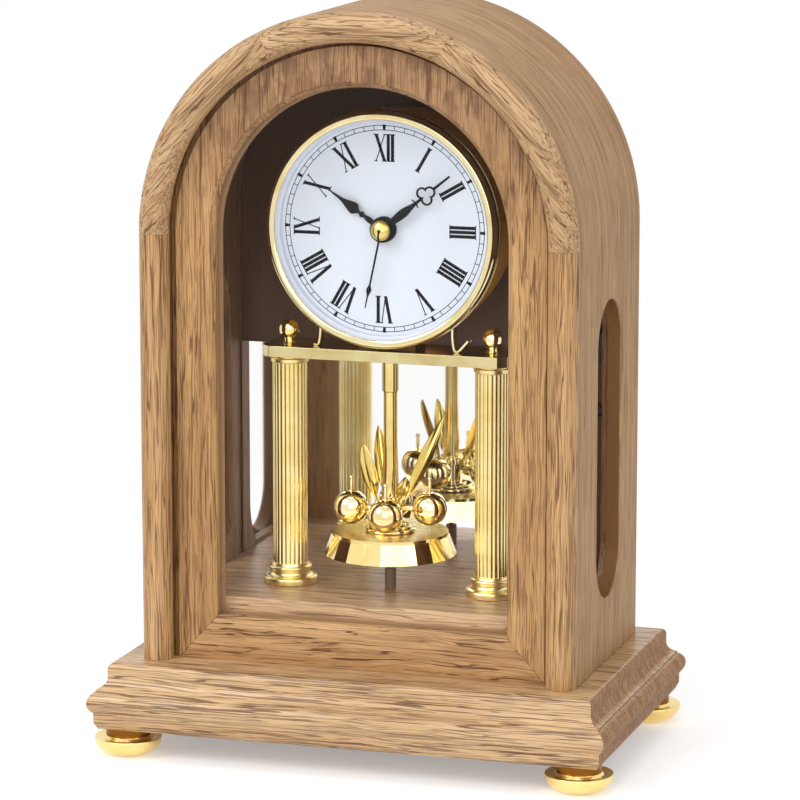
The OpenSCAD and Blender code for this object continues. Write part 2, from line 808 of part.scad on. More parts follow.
knob_pin_r = 2;
knob_pin_l = 4.6;
knob_recess_r = 7;
knob_recess_t = 1.2;
set_knob_r = 6.2;
set_knob_t = 4;
set_knob_grips = 10;
set_knob_grip_r = 0.8;

module movement() color(black) difference() {
    union() {
        translate([-move_w / 2, move_y0, arch_z - move_w / 2]) cube([move_w, move_t, move_w]);
        disc_y(bush_r, bush_y, move_y0 + 1);
    }
    disc_y(hour_pipe_r + run, bush_y - 1, move_y0 + hour_pipe_end + 3);
    translate([-batt_l / 2 - contact_gap - contact_t - 2 * fit, batt_y - bay_r, batt_z - bay_r])
        cube([batt_l + 2 * (contact_gap + contact_t + 2 * fit), move_t + bay_r, 2 * bay_r]);
    disc_y(knob_pin_r + run, move_y1 - knob_pin_l - way, move_y1 + 1, knob_axis_x, knob_axis_z);
    disc_y(knob_recess_r, move_y1 - knob_recess_t, move_y1 + 1, knob_axis_x, knob_axis_z);
}

// Round black nut that clamps the dial on the movement's bush.
dial_nut_r = 5.2;
dial_nut_t = 1.6;
module dial_nut() color(black) difference() {
    disc_y(dial_nut_r, dial_y - seat - dial_nut_t, dial_y - seat);
    disc_y(bush_r + seat, dial_y - dial_nut_t - 1, dial_y + 1);
}

module battery() color(slate) translate([0, batt_y, batt_z]) rotate([0, 90, 0]) {
    translate([0, 0, -batt_l / 2]) cylinder(r = batt_r, h = batt_l - batt_pin_l);
    translate([0, 0, batt_l / 2 - batt_pin_l - fit]) cylinder(r = batt_pin_r, h = batt_pin_l + fit);
}

module battery_contacts() color(steel) for (s = [-1, 1])
    translate([s * (batt_l / 2 + contact_gap + contact_t / 2), batt_y, batt_z])
        cube([contact_t, contact_w, contact_h], center = true);

module rotate_about(x, z, a)
    translate([x, 0, z]) rotate([0, a, 0]) translate([-x, 0, -z]) children();

module set_knob() color(black) {
    disc_y(knob_pin_r, move_y1 - knob_pin_l, move_y1, knob_axis_x, knob_axis_z);
    difference() {
        disc_y(set_knob_r, move_y1 - knob_recess_t + way, move_y1 - knob_recess_t + way + set_knob_t,
               knob_axis_x, knob_axis_z);
        for (i = [0:set_knob_grips - 1])
            rotate_about(knob_axis_x, knob_axis_z, i * 360 / set_knob_grips)
                disc_y(set_knob_grip_r, move_y1, move_y1 + set_knob_t,
                       knob_axis_x + set_knob_r + play, knob_axis_z);
    }
}

// Hands: drawn pointing at twelve, then turned to the time shown.

hand_t = 0.35;
hour_len = dial_r - hour_gap;
minute_len = dial_r - minute_gap;
second_len = dial_r - second_gap;
hour_y = dial_y - 2.3;                 // rear face of each hand
minute_y = dial_y - 3.3;
second_y = dial_y - 4.3;
second_angle = time_s * 6;
minute_angle = (time_m + time_s / 60) * 6;
hour_angle = (time_h + (time_m + time_s / 60) / 60) * 30;

module hand_plate(y, angle)
    rotate_about(0, arch_z, angle) translate([0, y, arch_z])
        rotate([90, 0, 0]) linear_extrude(hand_t) children();

// Diamond from l0 to l1 along the hand, widest at the part `at` of its length.
module diamond(l0, l1, w, at = 0.5) {
    m = l0 + (l1 - l0) * at;
    polygon([[0, l0], [w / 2, m], [0, l1], [-w / 2, m]]);
}

// Straight bar of width w from l0 to l1 along the hand.
module bar(l0, l1, w) translate([-w / 2, l0]) square([w, l1 - l0]);

hour_hub_r = 4.2;
hour_leaf_w = 5.6;
module hour_hand() color(black) difference() {
    union() {
        hand_plate(hour_y, hour_angle) {
            bar(0, hour_len * 0.54, 1.5);
            diamond(hour_len * 0.36, hour_len * 0.86, hour_leaf_w, 0.48);
            diamond(hour_len * 0.78, hour_len, 1.9, 0.25);
            circle(r = hour_hub_r);
        }
        disc_y(hour_pipe_r, hour_y - hand_t, move_y0 + hour_pipe_end);
    }
    disc_y(minute_pipe_r + run, hour_y - 1, move_y0 + hour_pipe_end + 1);
}

minute_hub_r = 5;
minute_leaf_w = 4.4;
trefoil_r = 2.4;                       // outer radius of each loop near the hand's tip
trefoil_wall = 0.8;                    // width of the loops' rims
trefoil_step = 1.8;                    // distance of each loop's middle from the trefoil's
trefoil_mid = minute_len * 0.655;
// Three loops of radius r that run into each other over an open middle.
module trefoil(r) translate([0, trefoil_mid]) {
    circle(r = 0.75 * r, $fn = 32);
    for (i = [0:2]) rotate(i * 120) translate([0, trefoil_step]) circle(r = r, $fn = 32);
}

module minute_hand() color(black) difference() {
    union() {
        hand_plate(minute_y, minute_angle) {
            bar(0, minute_len * 0.42, 1.8);
            diamond(minute_len * 0.12, minute_len * 0.55, minute_leaf_w, 0.55);
            bar(minute_len * 0.5, trefoil_mid - trefoil_r, 1.1);
            difference() {
                trefoil(trefoil_r);
                trefoil(trefoil_r - trefoil_wall);
            }
            bar(trefoil_mid + trefoil_step + trefoil_r - trefoil_wall / 2, minute_len, 1);
            circle(r = minute_hub_r);
        }
        disc_y(minute_pipe_r, minute_y - hand_t, move_y0 + minute_pipe_end);
    }
    disc_y(second_pin_r + run, minute_y - 1, move_y0 + minute_pipe_end + 1);
}

second_hub_r = 2;
second_tail = 3.4;
module second_hand() color(black) {
    hand_plate(second_y, second_angle) {
        bar(-second_tail, second_len * 0.8, 0.6);
        diamond(second_len * 0.72, second_len, 2.4, 0.4);
        circle(r = second_hub_r);
    }
    disc_y(second_pin_r, second_y - eps, move_y0 + second_pin_end);
}

cap_r = 4;
cap_rim = 0.75;                        // height of the cap's straight rim
cap_rise = 1.85;                       // height of its dome over the rim
cap_sphere = (cap_r * cap_r + cap_rise * cap_rise) / (2 * cap_rise);
module centre_cap() color(gold) {
    cap_y = second_y - hand_t;
    disc_y(cap_r, cap_y - cap_rim, cap_y - seat);
    intersection() {
        translate([0, cap_y - cap_rim - cap_rise + cap_sphere, arch_z])
            sphere(r = cap_sphere, $fn = 48);
        disc_y(cap_r, cap_y - cap_rim - cap_rise - 1, cap_y - cap_rim + eps);
    }
}

// Pendulum drive and the turning pendulum.

spindle_r = 1;
spindle_head_r = 2.4;
spindle_head_t = 1.6;
drive_hw = 12;
drive_d = 14;
drive_top = arch_z - move_w / 2;
drive_low = arch_z - drum_in + 3.4;
spindle_top = drive_low + 6;
collar_r = 3.3;
collar_h = 13.1;
collar_top = plate_under - 0.6;
collar_low = collar_top - collar_h;
spindle_low = collar_low + 2.2;

module drive_unit() color(black) difference() {
    translate([-drive_hw, move_y0, drive_low])
        cube([2 * drive_hw, drive_d, drive_top - drive_low]);
    post(spindle_r + run, drive_low - 1, spindle_top + lap, 0, -stand_front);
    post(spindle_head_r + play, spindle_top - spindle_head_t - 2 * lap, spindle_top + lap,
         0, -stand_front);
}

module pendulum_spindle() color(steel) {
    post(spindle_r, spindle_low, spindle_top, 0, -stand_front);
    post(spindle_head_r, spindle_top - spindle_head_t - fit, spindle_top - fit, 0, -stand_front);
}

skirt_z = floor_z + skirt_gap;
disc_z = skirt_z + disc_h;
ball_z = disc_z + ball_gap + ball_r;
rod_low = disc_z + 4.4;
flare_low = rod_low + 10;              // lower end of the rod's flare
flare_h = 24.1;
flare_top = flare_low + flare_h;
flare_out = 0.8;                       // how much wider the flare is than the rod
module pendulum_rod() color(gold) difference() {
    union() {
        post(collar_r, collar_low, collar_top, 0, -stand_front);
        post(rod_r, flare_top - lap, collar_low + eps, 0, -stand_front);
        translate([0, -stand_front, flare_low])
            cylinder(r1 = rod_r + flare_out, r2 = rod_r, h = flare_top - flare_low);
    }
    post(spindle_r + seat, spindle_low - lap, collar_top + 1, 0, -stand_front);
}

ring_r = [10.4, 9, 6.4];               // radii of the hub's three rings from below
ring_t = [1.5, 0.9, 0.8];              // and their heights
hub_low = disc_z + ring_t[0] + ring_t[1] + ring_t[2];
boss_r = 4.6;
boss_lip = 1.4;                        // how far the boss's upper lip stands out
lip_low = rod_low + 7;
lip_t = 2;
arm_r = 1.2;
module at_ball(i) translate([0, -stand_front, ball_z]) rotate(ball_turn + i * 90)
    translate([ball_orbit, 0, 0]) children();

module pendulum_hub() color(gold) difference() {
    union() {
        post(boss_r, hub_low, flare_low, 0, -stand_front);
        post(boss_r + boss_lip, lip_low, lip_low + lip_t, 0, -stand_front);
        translate([0, -stand_front, ball_z]) for (i = [0:3]) rotate(ball_turn + i * 90)
            rotate([0, 90, 0]) cylinder(r = arm_r, h = ball_orbit - ball_r + lap, $fn = 24);
    }
    for (i = [0:3]) at_ball(i) sphere(r = ball_r, $fn = 48);
}

module hub_ring() color(gold) {
    post(ring_r[0], disc_z, disc_z + ring_t[0], 0, -stand_front);
    post(ring_r[1], disc_z + ring_t[0] - eps, disc_z + ring_t[0] + ring_t[1], 0, -stand_front);
    post(ring_r[2], hub_low - ring_t[2] - eps, hub_low, 0, -stand_front);
}

// Frustum with the skirt's facets.
module skirt(r0, r1, z0, z1) translate([0, -stand_front, z0])
    linear_extrude(z1 - z0, scale = r1 / r0)
        polygon([for (i = [0:skirt_facets - 1])
            r0 * [cos(i * 360 / skirt_facets), sin(i * 360 / skirt_facets)]]);

// Disc with a faceted, flaring skirt, hollow below.
skirt_t = 1.4;
disc_rim = 1.2;                        // height of the round rim over the facets
disc_t = 3.2;
module pendulum_disc() color(gold) difference() {
    union() {
        skirt(skirt_r, disc_r, skirt_z, disc_z - disc_rim);
        post(disc_r - play, disc_z - disc_rim - fit, disc_z, 0, -stand_front);
    }
    skirt(skirt_r - skirt_t, disc_r - skirt_t, skirt_z - eps, disc_z - disc_t);
    post(guide_tip_r + run, skirt_z, disc_z - disc_rim, 0, -stand_front);
}

stem_r = 0.7;
stem_root = 3.2;                       // depth of the stem's end over the ball's middle
stem_rise = 5.2;                       // how far the stem stands over the ball
stem_knob_r = 0.95;
module pendulum_balls() color(gold) for (i = [0:3]) at_ball(i) difference() {
    sphere(r = ball_r, $fn = 48);
    post(stem_r, stem_root, ball_r + 1);
}

module ball_stems() color(gold) for (i = [0:3]) at_ball(i) {
    post(stem_r, stem_root, ball_r + stem_rise);
    translate([0, 0, ball_r + stem_rise]) sphere(r = stem_knob_r, $fn = 24);
}

// Each leaf: turn round the rod, lean from upright, length and turn of its blade on itself.
leaves = [[25, 24.5, 36.7, -70], [125, 19.5, 29.7, 0], [225, 14.5, 25.3, 50], [318, 26, 13, 0]];
leaf_w = 5.2;
leaf_t = 0.7;
leaf_root = 6.2;                       // distance of a leaf's stalk from the rod's axis
leaf_stalk_r = 0.7;
leaf_stalk_low = -1.5;                 // the stalk's ends along the leaf
leaf_stalk_top = 5;
module leaf_outline(l) {
    r = (l * l / 4 + leaf_w * leaf_w / 4) / leaf_w;
    intersection() {
        translate([r - leaf_w / 2, l / 2]) circle(r = r);
        translate([-r + leaf_w / 2, l / 2]) circle(r = r);
    }
}

module pendulum_leaves() color(gold) difference() {
    for (f = leaves) translate([0, -stand_front, lip_low + 1]) rotate(f[0])
        translate([leaf_root, 0, 0]) rotate([0, f[1], 0]) {
            rotate(f[3]) rotate([90, 0, 90]) translate([0, 2, -leaf_t / 2])
                linear_extrude(leaf_t) leaf_outline(f[2] - 2);
            translate([0, 0, leaf_stalk_low])
                cylinder(r = leaf_stalk_r, h = leaf_stalk_top - leaf_stalk_low, $fn = 16);
        }
    post(boss_r + boss_lip, lip_low - 4, lip_low + lip_t, 0, -stand_front);
}

guide_r = 2.3;
guide_root = 4;                        // depth of the post's end in the floor board
guide_h = 8.5;                         // height of its thick part over the floor
guide_tip_r = 0.9;
module guide_post() color(black) {
    post(guide_r - seat, floor_z - guide_root + fit, floor_z + guide_h, 0, -stand_front);
    post(guide_tip_r, floor_z + guide_h - fit, disc_z - disc_rim - 2 * play, 0, -stand_front);
}

plinth_board();
plinth_band();
feet();
foot_screws();
case_shell();
case_lining();
moulding_left();
moulding_right();
moulding_arch();
front_frame();
frame_rail();
front_glass();
glass_gasket();
floor_bearers();
floor_board();
case_screws();
back_door();
mirror();
hinge_leaves_case();
hinge_leaves_door();
hinge_pins();
door_knob();
catch_magnet();
catch_plate();
column_left();
column_right();
column_bases();
column_capitals();
tie_rods();
tie_nuts();
top_plate();
finials();
drum_saddle();
drum_clips();
drum_case();
bezel();
lens();
dial_ring();
dial();
movement();
dial_nut();
battery();
battery_contacts();
set_knob();
hour_hand();
minute_hand();
second_hand();
centre_cap();
drive_unit();
pendulum_spindle();
pendulum_rod();
pendulum_hub();
hub_ring();
pendulum_disc();
pendulum_balls();
ball_stems();
pendulum_leaves();
guide_post();
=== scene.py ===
"""Looks of an arched oak table clock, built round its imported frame.

Sizes are in millimetres, in the frame's own axes: X to the clock's right, Y to its rear, Z up.
Forms are worked out as whole arrays of points and turned into metres when they become a mesh.
"""

import functools
import logging
import math
from dataclasses import dataclass, field, replace
from enum import Enum
from typing import Callable, Optional, Sequence, Union

import bmesh
import bpy
import numpy as np
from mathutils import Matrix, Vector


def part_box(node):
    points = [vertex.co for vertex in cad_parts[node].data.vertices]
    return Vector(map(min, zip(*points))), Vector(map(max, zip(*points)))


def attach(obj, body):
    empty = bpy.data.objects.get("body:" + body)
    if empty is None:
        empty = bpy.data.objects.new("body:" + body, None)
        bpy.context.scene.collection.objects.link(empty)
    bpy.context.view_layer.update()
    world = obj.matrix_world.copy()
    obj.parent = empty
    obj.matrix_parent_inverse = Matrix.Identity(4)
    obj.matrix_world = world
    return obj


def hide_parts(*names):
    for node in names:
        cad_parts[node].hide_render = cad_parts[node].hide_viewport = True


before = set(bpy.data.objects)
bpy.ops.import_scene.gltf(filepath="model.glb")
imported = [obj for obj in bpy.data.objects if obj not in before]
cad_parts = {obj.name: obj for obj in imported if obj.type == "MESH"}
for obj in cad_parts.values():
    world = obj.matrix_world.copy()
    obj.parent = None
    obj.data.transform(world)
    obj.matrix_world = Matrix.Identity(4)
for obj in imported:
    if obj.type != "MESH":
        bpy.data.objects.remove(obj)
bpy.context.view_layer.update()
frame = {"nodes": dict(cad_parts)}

Array = np.ndarray
Colour = tuple[float, float, float, float]
Triple = tuple[float, float, float]
Key = Union[int, str]
Opened = tuple[bpy.types.Mesh, bmesh.types.BMesh]

MM = 0.001
WELD = 1e-7
NO_LENGTH = 1e-8
CAD_WELD = 1e-6
CAD_FLAT = math.radians(0.3)
SHOWN_TIME = (10, 8, 32)
WHITE = (1.0, 1.0, 1.0, 1.0)
ARCH_HEIGHT = 211.0
log = logging.getLogger("table_clock")


def srgb(*shown: float) -> Colour:
    """Linear colour, with an alpha of 1, for red, green and blue from 0 to 255."""
    parts = [value / 255 for value in shown]
    return (*(v / 12.92 if v <= 0.04045 else ((v + 0.055) / 1.055) ** 2.4 for v in parts), 1.0)


def span(node: str) -> tuple[Array, Array]:
    """Lowest and highest corner of a CAD node, in millimetres."""
    low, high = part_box(node)
    return np.array(low) / MM, np.array(high) / MM


def disc(node: str) -> Triple:
    """Radius of a node on the dial's axis, and its rear and front, measured forward."""
    low, high = span(node)
    return (high[0] - low[0]) / 2, -high[1], -low[1]


# Shader building


def maths(operation: str, swapped: bool = False) -> Callable[..., "Link"]:
    """Make a method that adds one Math node.

    Args:
        operation: The node's operation.
        swapped: True if the other value comes first.

    Returns:
        The method, which takes one other value or none.
    """

    def method(self: "Link", other: "Term" = 0.0) -> "Link":
        """Work the operation out on this value and another."""
        terms = (other, self) if swapped else (self, other)
        return self.paint.add("ShaderNodeMath", {"operation": operation}, dict(enumerate(terms)))

    return method


@dataclass(frozen=True)
class Link:
    """One output of a node, on which arithmetic adds Math nodes."""

    paint: "Paint"
    node: bpy.types.Node
    output: Key = 0

    __add__ = __radd__ = maths("ADD")
    __sub__, __rsub__ = maths("SUBTRACT"), maths("SUBTRACT", swapped=True)
    __mul__ = __rmul__ = maths("MULTIPLY")
    __truediv__, __rtruediv__ = maths("DIVIDE"), maths("DIVIDE", swapped=True)
    most = maths("MAXIMUM")
    size = maths("ABSOLUTE")
    sign = maths("SIGN")
    bearing = maths("ARCTAN2")
    root = maths("SQRT")
    part = maths("FRACT")

    def other(self, output: Key) -> "Link":
        """Another output of the same node."""
        return replace(self, output=output)


Term = Union[Link, float, Sequence[float]]


class Paint:
    """The node tree of a material or a world while it is mixed."""

    def __init__(self, owner: Union[bpy.types.Material, bpy.types.World]) -> None:
        """Empty the tree.

        Args:
            owner: The material or world that the tree belongs to.
        """
        owner.use_nodes = True
        self.owner = owner
        self.tree = owner.node_tree
        self.tree.nodes.clear()

    def add(
        self,
        kind: str,
        settings: Optional[dict[str, object]] = None,
        sockets: Optional[dict[Key, Term]] = None,
        output: Key = 0,
    ) -> Link:
        """Add a node of any type.

        Args:
            kind: The node's type.
            settings: Its settings, set first.
            sockets: Values or links for its inputs, by number or name.
            output: The number or name of the output that is wanted.

        Returns:
            That output.
        """
        node = self.tree.nodes.new(kind)
        for key, value in (settings or {}).items():
            setattr(node, key, value)
        for key, value in (sockets or {}).items():
            if isinstance(value, Link):
                self.tree.links.new(value.node.outputs[value.output], node.inputs[key])
            else:
                node.inputs[key].default_value = value
        return Link(self, node, output)

    def here(self) -> Link:
        """Place on the piece, in metres, as the frame measures it."""
        return self.add("ShaderNodeTexCoord", output="Object")

    def facing(self) -> Link:
        """Direction that the piece's surface looks in, in the piece's own axes."""
        return self.add("ShaderNodeTexCoord", output="Normal")

    def seen(self) -> Link:
        """One for rays from the camera, off metal and through glass, and nought for others."""
        path = self.add("ShaderNodeLightPath", output="Is Camera Ray")
        return path.most(path.other("Is Glossy Ray")).most(path.other("Is Transmission Ray"))

    def split(self, vector: Link) -> list[Link]:
        """The three parts of a vector."""
        parts = self.add("ShaderNodeSeparateXYZ", sockets={0: vector})
        return [parts.other(i) for i in range(3)]

    def joined(self, *parts: Term) -> Link:
        """Three values put together as a vector."""
        return self.add("ShaderNodeCombineXYZ", sockets=dict(enumerate(parts)))

    def cloud(self, vector: Link, grains: Triple, detail: float = 2.0, rough: float = 0.5) -> Link:
        """Smooth noise from 0 to 1 whose patches have a given size.

        Args:
            vector: The place in metres.
            grains: Size of a patch along each part of the vector, in millimetres.
            detail: Number of finer layers.
            rough: Share of the finer layers.

        Returns:
            The noise.
        """
        factors = tuple(1 / (MM * grain) for grain in grains)
        place = self.add("ShaderNodeVectorMath", {"operation": "MULTIPLY"}, {0: vector, 1: factors})
        sockets = {"Vector": place, "Scale": 1.0, "Detail": detail, "Roughness": rough}
        return self.add("ShaderNodeTexNoise", {"noise_dimensions": "3D"}, sockets)

    def eased(self, value: Link, low: float, high: float) -> Link:
        """Smooth step from nought at the low value to one at the high value."""
        sockets = {"Value": value, "From Min": low, "From Max": high}
        return self.add("ShaderNodeMapRange", {"interpolation_type": "SMOOTHSTEP"}, sockets)

    def mixed(self, share: Term, first: Term, second: Term) -> Link:
        """Two colours mixed, with the second one's share."""
        sockets = {"Factor": share, 6: first, 7: second}
        return self.add("ShaderNodeMix", {"data_type": "RGBA"}, sockets, output=2)

    def relief(self, height: Link, depth: float, strength: float) -> Link:
        """Normal bumped by a height from 0 to 1, where 1 is a depth in millimetres."""
        sockets = {"Strength": strength, "Distance": depth * MM, "Height": height}
        return self.add("ShaderNodeBump", None, sockets)

    def coat(self, sockets: dict[Key, Term]) -> Link:
        """The main shader with the given sockets."""
        return self.add("ShaderNodeBsdfPrincipled", None, sockets)

    def glow(self, strength: Term) -> Link:
        """White light of a given strength."""
        return self.add("ShaderNodeEmission", None, {"Color": WHITE, "Strength": strength})

    def done(self, kind: str, shader: Link) -> Union[bpy.types.Material, bpy.types.World]:
        """Send a shader to an output of the given type and hand over what is painted."""
        self.add(kind, sockets={"Surface": shader})
        return self.owner


# Finishes


class Grain(Enum):
    """How the fibres of a piece of wood run."""

    ALONG_X = "along the clock's width"
    ALONG_Z = "upright"
    ROUND_ARCH = "up one side, over the arch and down the other"
    STAVES = "straight in each of the arch's three staves"


class EndGrainAndPaintedLight(Enum):
    """Where a piece of wood shows a second tone: on its end grain, and as painted light and shade."""

    NOWHERE = "nowhere"
    # Painted shade inside the side windows, on the shell's core under the veneer.
    WINDOW_WALLS = "under the veneer, on the walls of the windows"
    # Painted light on the lining's front edge.
    FRONT_EDGE = "near the front, where the light reaches"
    # Painted shade on the door's face inside the case.
    INNER_FACE = "on the side that looks into the case"
    FIBRE_ENDS = "on faces that cut the fibres"
    # Painted shade under the arch moulding's overhang, on wood that is darker there too.
    CROWN = "high up, round the head of the arch"


# Where the end grain's tone and the painted light and shade begin and are full, in metres, or as a share
# of the fibres' direction.
END_GRAIN_AND_PAINTED_LIGHT_STEPS = {
    EndGrainAndPaintedLight.WINDOW_WALLS: (0.0891, 0.0895),
    EndGrainAndPaintedLight.FRONT_EDGE: (-0.0385, -0.0365),
    EndGrainAndPaintedLight.INNER_FACE: (0.045, 0.046),
    EndGrainAndPaintedLight.FIBRE_ENDS: (0.3, 0.75),
    EndGrainAndPaintedLight.CROWN: (0.2, 0.27),
}


@dataclass(frozen=True)
class Finish:
    """What a piece looks like, and the record's material slot for it."""

    name: str
    slot: str = field(default="oak", kw_only=True)

    @functools.cache
    def material(self) -> bpy.types.Material:
        """The finish's material, made once."""
        paint = Paint(bpy.data.materials.new(self.name))
        return paint.done("ShaderNodeOutputMaterial", self.mix(paint))

    def mix(self, paint: Paint) -> Link:
        """Mix the finish's shader in a material's tree."""
        raise NotImplementedError


@dataclass(frozen=True)
class Oak(Finish):
    """Waxed oak: tone bands along its rings, long wavy dark lines, open pores and fine fibres.

    Distances are in millimetres, and the piece is cut from a log whose pith runs along the
    fibres, pith away from the frame's origin.
    """

    grain: Grain
    pale: Colour = srgb(216, 174, 122)
    warm: Colour = srgb(182, 138, 88)
    dark: Colour = srgb(96, 58, 28)
    # Where a second tone shows, for end grain and for painted light and shade, and that tone.
    end_grain_and_painted_light: EndGrainAndPaintedLight = EndGrainAndPaintedLight.NOWHERE
    end_grain_and_painted_light_tone: Colour = srgb(168, 132, 96)
    pith: tuple[float, float] = (70.0, -45.0)
    ring: float = 7.5
    ring_share: float = 0.5
    sway: float = 1.6
    line_length: float = 70.0
    line_gap: float = 2.2
    line_share: float = 0.8
    pore_length: float = 12.0
    pore_width: float = 0.4
    pore_share: float = 0.6
    sway_grain: Triple = (46, 13, 13)
    break_grain: Triple = (30, 2, 2)
    patch_grain: Triple = (120, 20, 20)
    fibre_grain: Triple = (34, 0.7, 0.7)
    fleck_grain: Triple = (9, 6, 1.5)
    line_edge: tuple[float, float] = (0.01, 0.036)
    break_edge: tuple[float, float] = (0.44, 0.52)
    pore_edge: tuple[float, float] = (0.58, 0.65)
    long_pore_edge: tuple[float, float] = (0.58, 0.63)
    relief: float = 0.14
    gloss: float = 0.36
    shine: float = 0.4
    arch_radius: float = 87.0
    stave_slope: float = 0.47
    stave_sine: float = 0.707
    start: Triple = (0.0, 0.0, 0.0)

    def _fibres(self, paint: Paint) -> list[Link]:
        """Measure the piece along, across and through its fibres.

        Round the arch, with x and z from its centre, the fibre's length is R atan2(x, up) plus the
        straight part below the centre with the sign of x, and the distance across is the radius.
        In staves, x and z are turned by 45 degrees on each side of the middle stave.

        Args:
            paint: The material's tree.

        Returns:
            The three distances in metres.
        """
        x, y, z = paint.split(paint.here())
        height = z - ARCH_HEIGHT * MM
        along, across = x, z
        if self.grain is Grain.ALONG_Z:
            along, across = z, x
        elif self.grain is Grain.ROUND_ARCH:
            up = height.most(0.0)
            down = (0.0 - height).most(0.0)
            along = x.bearing(up) * (self.arch_radius * MM) + x.sign() * down
            across = (x * x + up * up).root()
        elif self.grain is Grain.STAVES:
            outer = paint.eased(x.size() - height * self.stave_slope, 0, 0.0003)
            cosine, sine = 1 - outer * (1 - self.stave_sine), x.sign() * outer * self.stave_sine
            along, across = x * cosine - height * sine, x * sine + height * cosine
        return [way + MM * start for way, start in zip((along, across, y), self.start)]

    def _end_grain_and_painted_light_share(self, paint: Paint) -> Link:
        """Find where the end grain's tone and the painted light and shade show.

        Args:
            paint: The material's tree.

        Returns:
            One where it shows and nought elsewhere.
        """
        x, y, z = paint.split(paint.here())
        steps = END_GRAIN_AND_PAINTED_LIGHT_STEPS[self.end_grain_and_painted_light]
        if self.end_grain_and_painted_light is EndGrainAndPaintedLight.FIBRE_ENDS:
            return paint.eased(paint.split(paint.facing())[0].size(), *steps)
        if self.end_grain_and_painted_light is EndGrainAndPaintedLight.CROWN:
            return paint.eased(z, *steps)
        if self.end_grain_and_painted_light is EndGrainAndPaintedLight.WINDOW_WALLS:
            up = (z - ARCH_HEIGHT * MM).most(0.0)
            return 1 - paint.eased((x * x + up * up).root(), *steps)
        return 1 - paint.eased(y, *steps)

    def mix(self, paint: Paint) -> Link:
        """Mix the oak.

        The dark lines lie where a noise drawn out along the fibres passes through its middle
        value, and a second noise breaks them up.

        Args:
            paint: The material's tree.

        Returns:
            The shader.
        """
        along, across, through = self._fibres(paint)
        straight = paint.joined(along, across, through)
        sway = (paint.cloud(straight, self.sway_grain) - 0.5) * (self.sway * 2 * MM)
        place = paint.joined(along, across + sway, through + sway * 0.6)
        off_across, off_through = across - self.pith[0] * MM, through - self.pith[1] * MM
        radius = (off_across * off_across + off_through * off_through).root() + sway * 2
        turn = (radius / (self.ring * MM)).part()
        band = paint.eased(turn, 0.0, 0.3) * (1 - paint.eased(turn, 0.4, 1.0))
        drawn = paint.cloud(place, (self.line_length, self.line_gap, self.line_gap), 1)
        breaks = paint.eased(paint.cloud(place, self.break_grain, 1), *self.break_edge)
        lines = (1 - paint.eased((drawn - 0.5).size(), *self.line_edge)) * breaks
        short, long = (
            paint.cloud(place, (self.pore_length * longer, *(self.pore_width * wider,) * 2), 0.5)
            for longer, wider in ((1, 1), (2.4, 1.5))
        )
        pores = paint.eased(short, *self.pore_edge).most(paint.eased(long, *self.long_pore_edge))
        pores = pores * (band * 0.35 + 0.65)
        patches = paint.eased(paint.cloud(straight, self.patch_grain, 1), 0.3, 0.7)
        fibres = paint.cloud(place, self.fibre_grain, 2, 0.6)
        tone = paint.mixed(patches * 0.6 + band * self.ring_share * 0.8, self.pale, self.warm)
        ends: Term = 0.0
        # Second tone: the plinth's end grain, and elsewhere painted shade (window walls, the door's inner
        # face, the frame's crown) and painted light (the lining's front edge).
        if self.end_grain_and_painted_light is not EndGrainAndPaintedLight.NOWHERE:
            flecks = paint.eased(paint.cloud(straight, self.fleck_grain), 0.42, 0.6)
            share = self._end_grain_and_painted_light_share(paint)
            tone = paint.mixed(share, tone, paint.mixed(flecks * 0.5, self.end_grain_and_painted_light_tone, self.dark))
            if self.end_grain_and_painted_light is EndGrainAndPaintedLight.FIBRE_ENDS:
                lines = lines * (1 - share * 0.75)
                ends = share * 0.4
        strokes = paint.eased(fibres, 0.35, 0.75) * 0.24
        for dark in (strokes, pores * self.pore_share, lines * self.line_share):
            tone = paint.mixed(dark, tone, self.dark)
        height = 1 - lines * 0.7 - pores * 0.5 - fibres * 0.3
        sockets = {
            "Base Color": tone,
            "Roughness": lines * 0.2 + self.gloss + ends,
            "Specular IOR Level": self.shine,
            "Normal": paint.relief(height, self.relief, 0.6),
        }
        return paint.coat(sockets)


@dataclass(frozen=True)
class Brass(Finish):
    """Lacquered brass: a clear reflection, faint tool lines, a slight drift in colour, and painted shade
    above a given height.
    """

    colour: Colour = srgb(252, 232, 168)
    shade: Colour = srgb(240, 210, 130)
    rough: float = 0.07
    spread: float = 0.07
    line: Triple = (9.0, 9.0, 0.5)
    line_depth: float = 0.002
    drift: float = 14.0
    top_rough: float = 0.0
    top_edge: tuple[float, float] = (0.9, 0.97)
    metallic: float = 1.0
    # Painted shade: a darker colour from a height in millimetres upwards, for shade in a recess.
    painted_shade: Colour = srgb(160, 108, 44)
    painted_shade_from: float = 1000.0
    slot: str = field(default="polished_brass", kw_only=True)

    def mix(self, paint: Paint) -> Link:
        """Mix the brass, rougher where it faces up, and darker above a height in millimetres as painted
        shade.

        Args:
            paint: The material's tree.

        Returns:
            The shader.
        """
        place = paint.here()
        drift = paint.cloud(place, (self.drift,) * 3, 3)
        lines = paint.cloud(place, self.line, 3, 0.6)
        top = paint.eased(paint.split(paint.facing())[2], *self.top_edge) * self.top_rough
        painted_shade_from = self.painted_shade_from * MM
        painted_shade_share = paint.eased(paint.split(place)[2], painted_shade_from, painted_shade_from + 0.5 * MM)
        tone = paint.mixed(paint.eased(drift, 0.3, 0.8), self.colour, self.shade)
        sockets = {
            "Base Color": paint.mixed(painted_shade_share, tone, self.painted_shade),
            "Metallic": self.metallic,
            "Roughness": drift * self.spread + top + self.rough,
            "Normal": paint.relief(lines, self.line_depth, 0.6),
        }
        return paint.coat(sockets)


